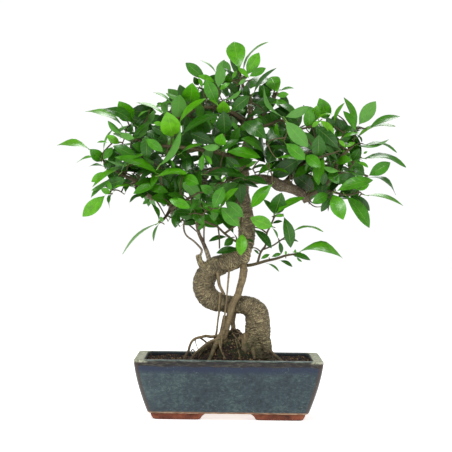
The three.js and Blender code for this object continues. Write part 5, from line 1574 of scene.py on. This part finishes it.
def inside_outline(x, z):
    """Whether a point, as seen from the front, is within the dense part of the crown."""
    crossings = 0
    for (x1, z1), (x2, z2) in zip(CROWN, CROWN[1:] + CROWN[:1]):
        if (x1 > x) != (x2 > x) and z < z1 + (z2 - z1) * (x - x1) / (x2 - x1):
            crossings += 1
    return crossings % 2 == 1


def shown_cells(leaf):
    """The cells of a front view that a leaf covers."""
    foot, tip = leaf["foot"], leaf["tip"]
    along = Vector((tip.x - foot.x, tip.z - foot.z))
    face = leaf["face"].normalized()
    half = leaf["width"] / 2 * max(0.25, abs(face.y)) * SHOWN_WIDTH
    length = max(along.length, 1)
    across = Vector((-along.y, along.x)) / length
    cells = set()
    steps, sides = math.ceil(length / 2), math.ceil(half / 2)
    for i in range(steps + 1):
        wide = math.sin(math.pi * min(0.97, max(0.05, i / steps)) ** 0.9)
        for k in range(-sides, sides + 1):
            p = Vector((foot.x, foot.z)) + along * (i / steps) + across * (half * wide * k / sides)
            cells.add((round(p.x / CELL), round(p.y / CELL)))
    return cells


def shows_stub(cell):
    """Whether a cell lies over the thick end of the left branch, which leaves grow in front of."""
    x, z = cell[0] * CELL, cell[1] * CELL
    return STUB_BOX["left"] < x < STUB_BOX["right"] and STUB_BOX["bottom"] < z < STUB_BOX["top"]


def inner_leaves(leaves, ribs, chance, fronts):
    """Leaves deeper in the crown, where a front view would still see through it."""
    covered = set()
    for leaf in leaves:
        before_stub = leaf["foot"].y < -12
        covered |= {cell for cell in shown_cells(leaf) if before_stub or not shows_stub(cell)}
    wanted = []
    for i in range(round(-180 / CELL), round(200 / CELL)):
        for k in range(round(240 / CELL), round(460 / CELL)):
            x, z = i * CELL, k * CELL
            if inside_outline(x, z) and all(math.hypot(x - a, z - b) > r for a, b, r in DAYLIGHT):
                wanted.append((i, k))
    made = []
    for _ in range(INNER_TRIES):
        i, k = chance.choice(wanted)
        if (i, k) in covered:
            continue
        along = (random_direction(chance) + Vector((0, 0, 0.1))).normalized()
        if abs(along.y) > 0.75:
            continue
        length = chance.uniform(26, 42)
        before_trunk = 6 < i * CELL < 36 and k * CELL > 290
        if before_trunk or shows_stub((i, k)):
            depth = chance.uniform(*BEFORE_WOOD)
        else:
            depth = chance.uniform(18 if k * CELL > 405 else -36, 56)
        middle = Vector((i * CELL, depth, k * CELL))
        face = random_direction(chance) * 0.5 + Vector((0, -0.55, 0.55))
        leaf = {
            "foot": middle - along * length / 2,
            "tip": middle + along * length / 2,
            "face": face,
            "width": length * chance.uniform(0.42, 0.54),
            "arch": chance.uniform(0.05, 0.15),
            "tint": chance.choice([0.16, 0.26, 0.34, 0.42, 0.5]),
            # painted shade for a leaf deep in the crown
            "shade": chance.uniform(0.1, 0.45),
        }
        cells = shown_cells(leaf)
        own = rib_points(leaf)
        outside = sum(not inside_outline(a * CELL, b * CELL) for a, b in cells)
        if outside > len(cells) * MOST_OUTSIDE or len(cells - covered) < len(cells) * LEAST_NEW:
            continue
        clear = all(math.hypot(p.x - x, p.z - z) > r for p in own for x, z, r in DAYLIGHT)
        clear = clear and not hides_set(cells, middle.y, fronts)
        if clear and all((p - q).length > INNER_CLEARANCE for p in own for q in ribs):
            made.append(leaf)
            ribs.extend(own)
            covered |= cells
    return made


def nearest_bough(leaf):
    """The bough whose stems pass nearest to the foot of a leaf."""
    return min(
        BOUGHS,
        key=lambda name: min(
            (Vector(p[:3]) - leaf["foot"]).length for stem in BOUGHS[name]["stems"] for p in stem
        ),
    )


def grow_twigs(stems, leaves, chance):
    """Twigs from the stems to the leaves' feet, nearest first, so that later leaves can share a twig."""
    buds = [point for stem in stems for point, _ in smooth_line(stem, 6)[2:]]
    lines = [list(stem) for stem in stems]

    def nearest(p):
        return min(buds, key=lambda bud: (bud - p).length_squared)

    for leaf in sorted(leaves, key=lambda leaf: (nearest(leaf["foot"]) - leaf["foot"]).length):
        foot = leaf["foot"] - (leaf["tip"] - leaf["foot"]).normalized() * 4
        bud = nearest(foot)
        far = (foot - bud).length
        if far < 1.5:
            continue
        bow = random_direction(chance) * far * 0.09 + Vector((0, 0, far * 0.05))
        middle = bud.lerp(foot, 0.5) + bow
        thick = 0.75 + min(0.5, far / 60)
        lines.append([(*bud, thick), (*middle, thick * 0.85), (*foot, 0.62)])
        if far > 10:
            buds.extend(point for point, _ in smooth_line(lines[-1], 6)[1:-1])
    return lines


def points_of(name, leaves, chance):
    """One point for each leaf, with what the leaf tree reads."""
    mesh = bpy.data.meshes.new(name)
    mesh.from_pydata([placed(leaf["foot"]) for leaf in leaves], [], [])
    obj = bpy.data.objects.new(name, mesh)
    bpy.context.scene.collection.objects.link(obj)
    turns, reaches, kinds = [], [], []
    for leaf in leaves:
        along = leaf["tip"] - leaf["foot"]
        length = along.length
        along.normalize()
        up = (leaf["face"] - along * along.dot(leaf["face"])).normalized()
        turns.append(Matrix((along, up.cross(along), up)).transposed().to_euler())
        reaches.append(Vector((length, leaf["width"], length)) / 1000)
        kinds.append(min(range(len(BLADE_ARCHES)), key=lambda k: abs(BLADE_ARCHES[k] - leaf["arch"])))
    keep_attribute(obj, "turn", "FLOAT_VECTOR", turns)
    keep_attribute(obj, "reach", "FLOAT_VECTOR", reaches)
    obj.data.attributes.new("kind", "INT", "POINT").data.foreach_set("value", kinds)
    tints = [min(1, max(0, leaf["tint"] + chance.uniform(-0.05, 0.05))) for leaf in leaves]
    keep_attribute(obj, "tint", "FLOAT", tints)
    keep_attribute(obj, "shade", "FLOAT", [leaf.get("shade", 0) for leaf in leaves])
    return obj


chance = random.Random(41)
foliage = {name: [set_leaf(row) for row in SET_LEAVES.get(name, [])] for name in BOUGHS}
ribs = [p for leaves in foliage.values() for leaf in leaves for p in rib_points(leaf)]
fronts = {}
for leaf in (leaf for leaves in foliage.values() for leaf in leaves):
    for cell in shown_cells(leaf):
        fronts[cell] = min(fronts.get(cell, 1000), leaf["foot"].y)
for name, bough in BOUGHS.items():
    if "fill" in bough:
        foliage[name] += filled_leaves(bough["fill"], chance, ribs, fronts)
for leaf in inner_leaves([leaf for leaves in foliage.values() for leaf in leaves], ribs, chance, fronts):
    foliage[nearest_bough(leaf)].append(leaf)

kinds = leaf_kinds()
stem_tree, leaf_tree = stem_growth(), leaf_growth()
for name, leaves in foliage.items():
    lines = grow_twigs(BOUGHS[name]["stems"], leaves, chance)
    stems = stem_tree.applied(curve_of(name + "_stems", lines), Sides=7, Bark=TWIG_BARK)
    blades = leaf_tree.applied(points_of(name + "_blades", leaves, chance), Leaves=kinds, Skin=LEAF_SKIN)
    finish_piece(joined([stems, blades], name + "_foliage"), "leaf", "leafy_bough_" + name)
for blade in list(kinds.objects):
    bpy.data.objects.remove(blade)
bpy.data.collections.remove(kinds)

dry = stem_tree.applied(curve_of("dry_twigs", DRY_TWIGS), Sides=6, Bark=TWIG_BARK)
finish_piece(dry, "bark")

# ---------------------------------------------------------------- drainage, as the frame has it

for name, finish in (("drain_mesh_", mesh_finish()), ("mesh_clip_", wire_finish())):
    for side in ("left", "right"):
        node = frame["nodes"][name + side]
        node.data.materials.clear()
        node.data.materials.append(finish)
grit = frame["nodes"]["drainage_grit"]
grit.data.materials.clear()
grit.data.materials.append(grit_finish())

# ---------------------------------------------------------------- studio

EYE = (-3, -2600, 257)
AIM = (-3, 0, 246)
ROLL_DEGREES = 0.7
SENSOR_WIDTH = 36
VIEW_WIDTH = 0.5876  # metres across the view, where the tree stands

floor_points = [Vector((x, y, 0)) for x, y in ((-9000, -9000), (9000, -9000), (9000, 9000), (-9000, 9000))]
floor = new_object("studio_floor", floor_points, [(0, 1, 2, 3)], [floor_finish()], smooth=False)

camera = bpy.data.objects.new("camera", bpy.data.cameras.new("camera"))
bpy.context.scene.collection.objects.link(camera)
camera.location = placed(EYE)
sight = placed(AIM) - camera.location
roll = Matrix.Rotation(math.radians(ROLL_DEGREES), 3, "Z").to_quaternion()
camera.rotation_mode = "QUATERNION"
camera.rotation_quaternion = sight.to_track_quat("-Z", "Y") @ roll
camera.data.sensor_width = SENSOR_WIDTH
camera.data.lens = SENSOR_WIDTH * sight.length / VIEW_WIDTH
camera.data.clip_end = 60
bpy.context.scene.camera = camera


def soft_light(name, place, aim, width, power, colour=(1, 1, 1)):
    light = bpy.data.lights.new(name, "AREA")
    light.shape = "DISK"
    light.size = width
    light.energy = power
    light.color = colour
    obj = bpy.data.objects.new(name, light)
    bpy.context.scene.collection.objects.link(obj)
    obj.location = place
    obj.rotation_mode = "QUATERNION"
    obj.rotation_quaternion = (Vector(aim) - Vector(place)).to_track_quat("-Z", "Y")


def white_room():
    """A room that is white at eye level and dimmer overhead, where the lights hang."""
    world = bpy.data.worlds.new("white room")
    world.use_nodes = True
    tree = world.node_tree
    place = tree.nodes.new("ShaderNodeTexCoord")
    parts = tree.nodes.new("ShaderNodeSeparateXYZ")
    ramp = tree.nodes.new("ShaderNodeValToRGB")
    ramp.color_ramp.elements[0].position, ramp.color_ramp.elements[0].color = 0.16, (1.02, 1.02, 1.02, 1)
    ramp.color_ramp.elements[1].position, ramp.color_ramp.elements[1].color = 0.36, (0.3, 0.3, 0.3, 1)
    tree.links.new(place.outputs["Generated"], parts.inputs[0])
    tree.links.new(parts.outputs["Z"], ramp.inputs["Fac"])
    tree.links.new(ramp.outputs["Color"], tree.nodes["Background"].inputs["Color"])
    return world


soft_light("key", (-0.7, -1.5, 2.2), (0, 0, 0.3), 0.7, 30)
soft_light("fill", (1.6, -1.7, 0.9), (0, 0, 0.25), 1.2, 5)
soft_light("back", (0.3, 1.6, 2.0), (0, 0, 0.3), 1.0, 16)
bpy.context.scene.world = white_room()
bpy.context.scene.view_settings.view_transform = "Standard"
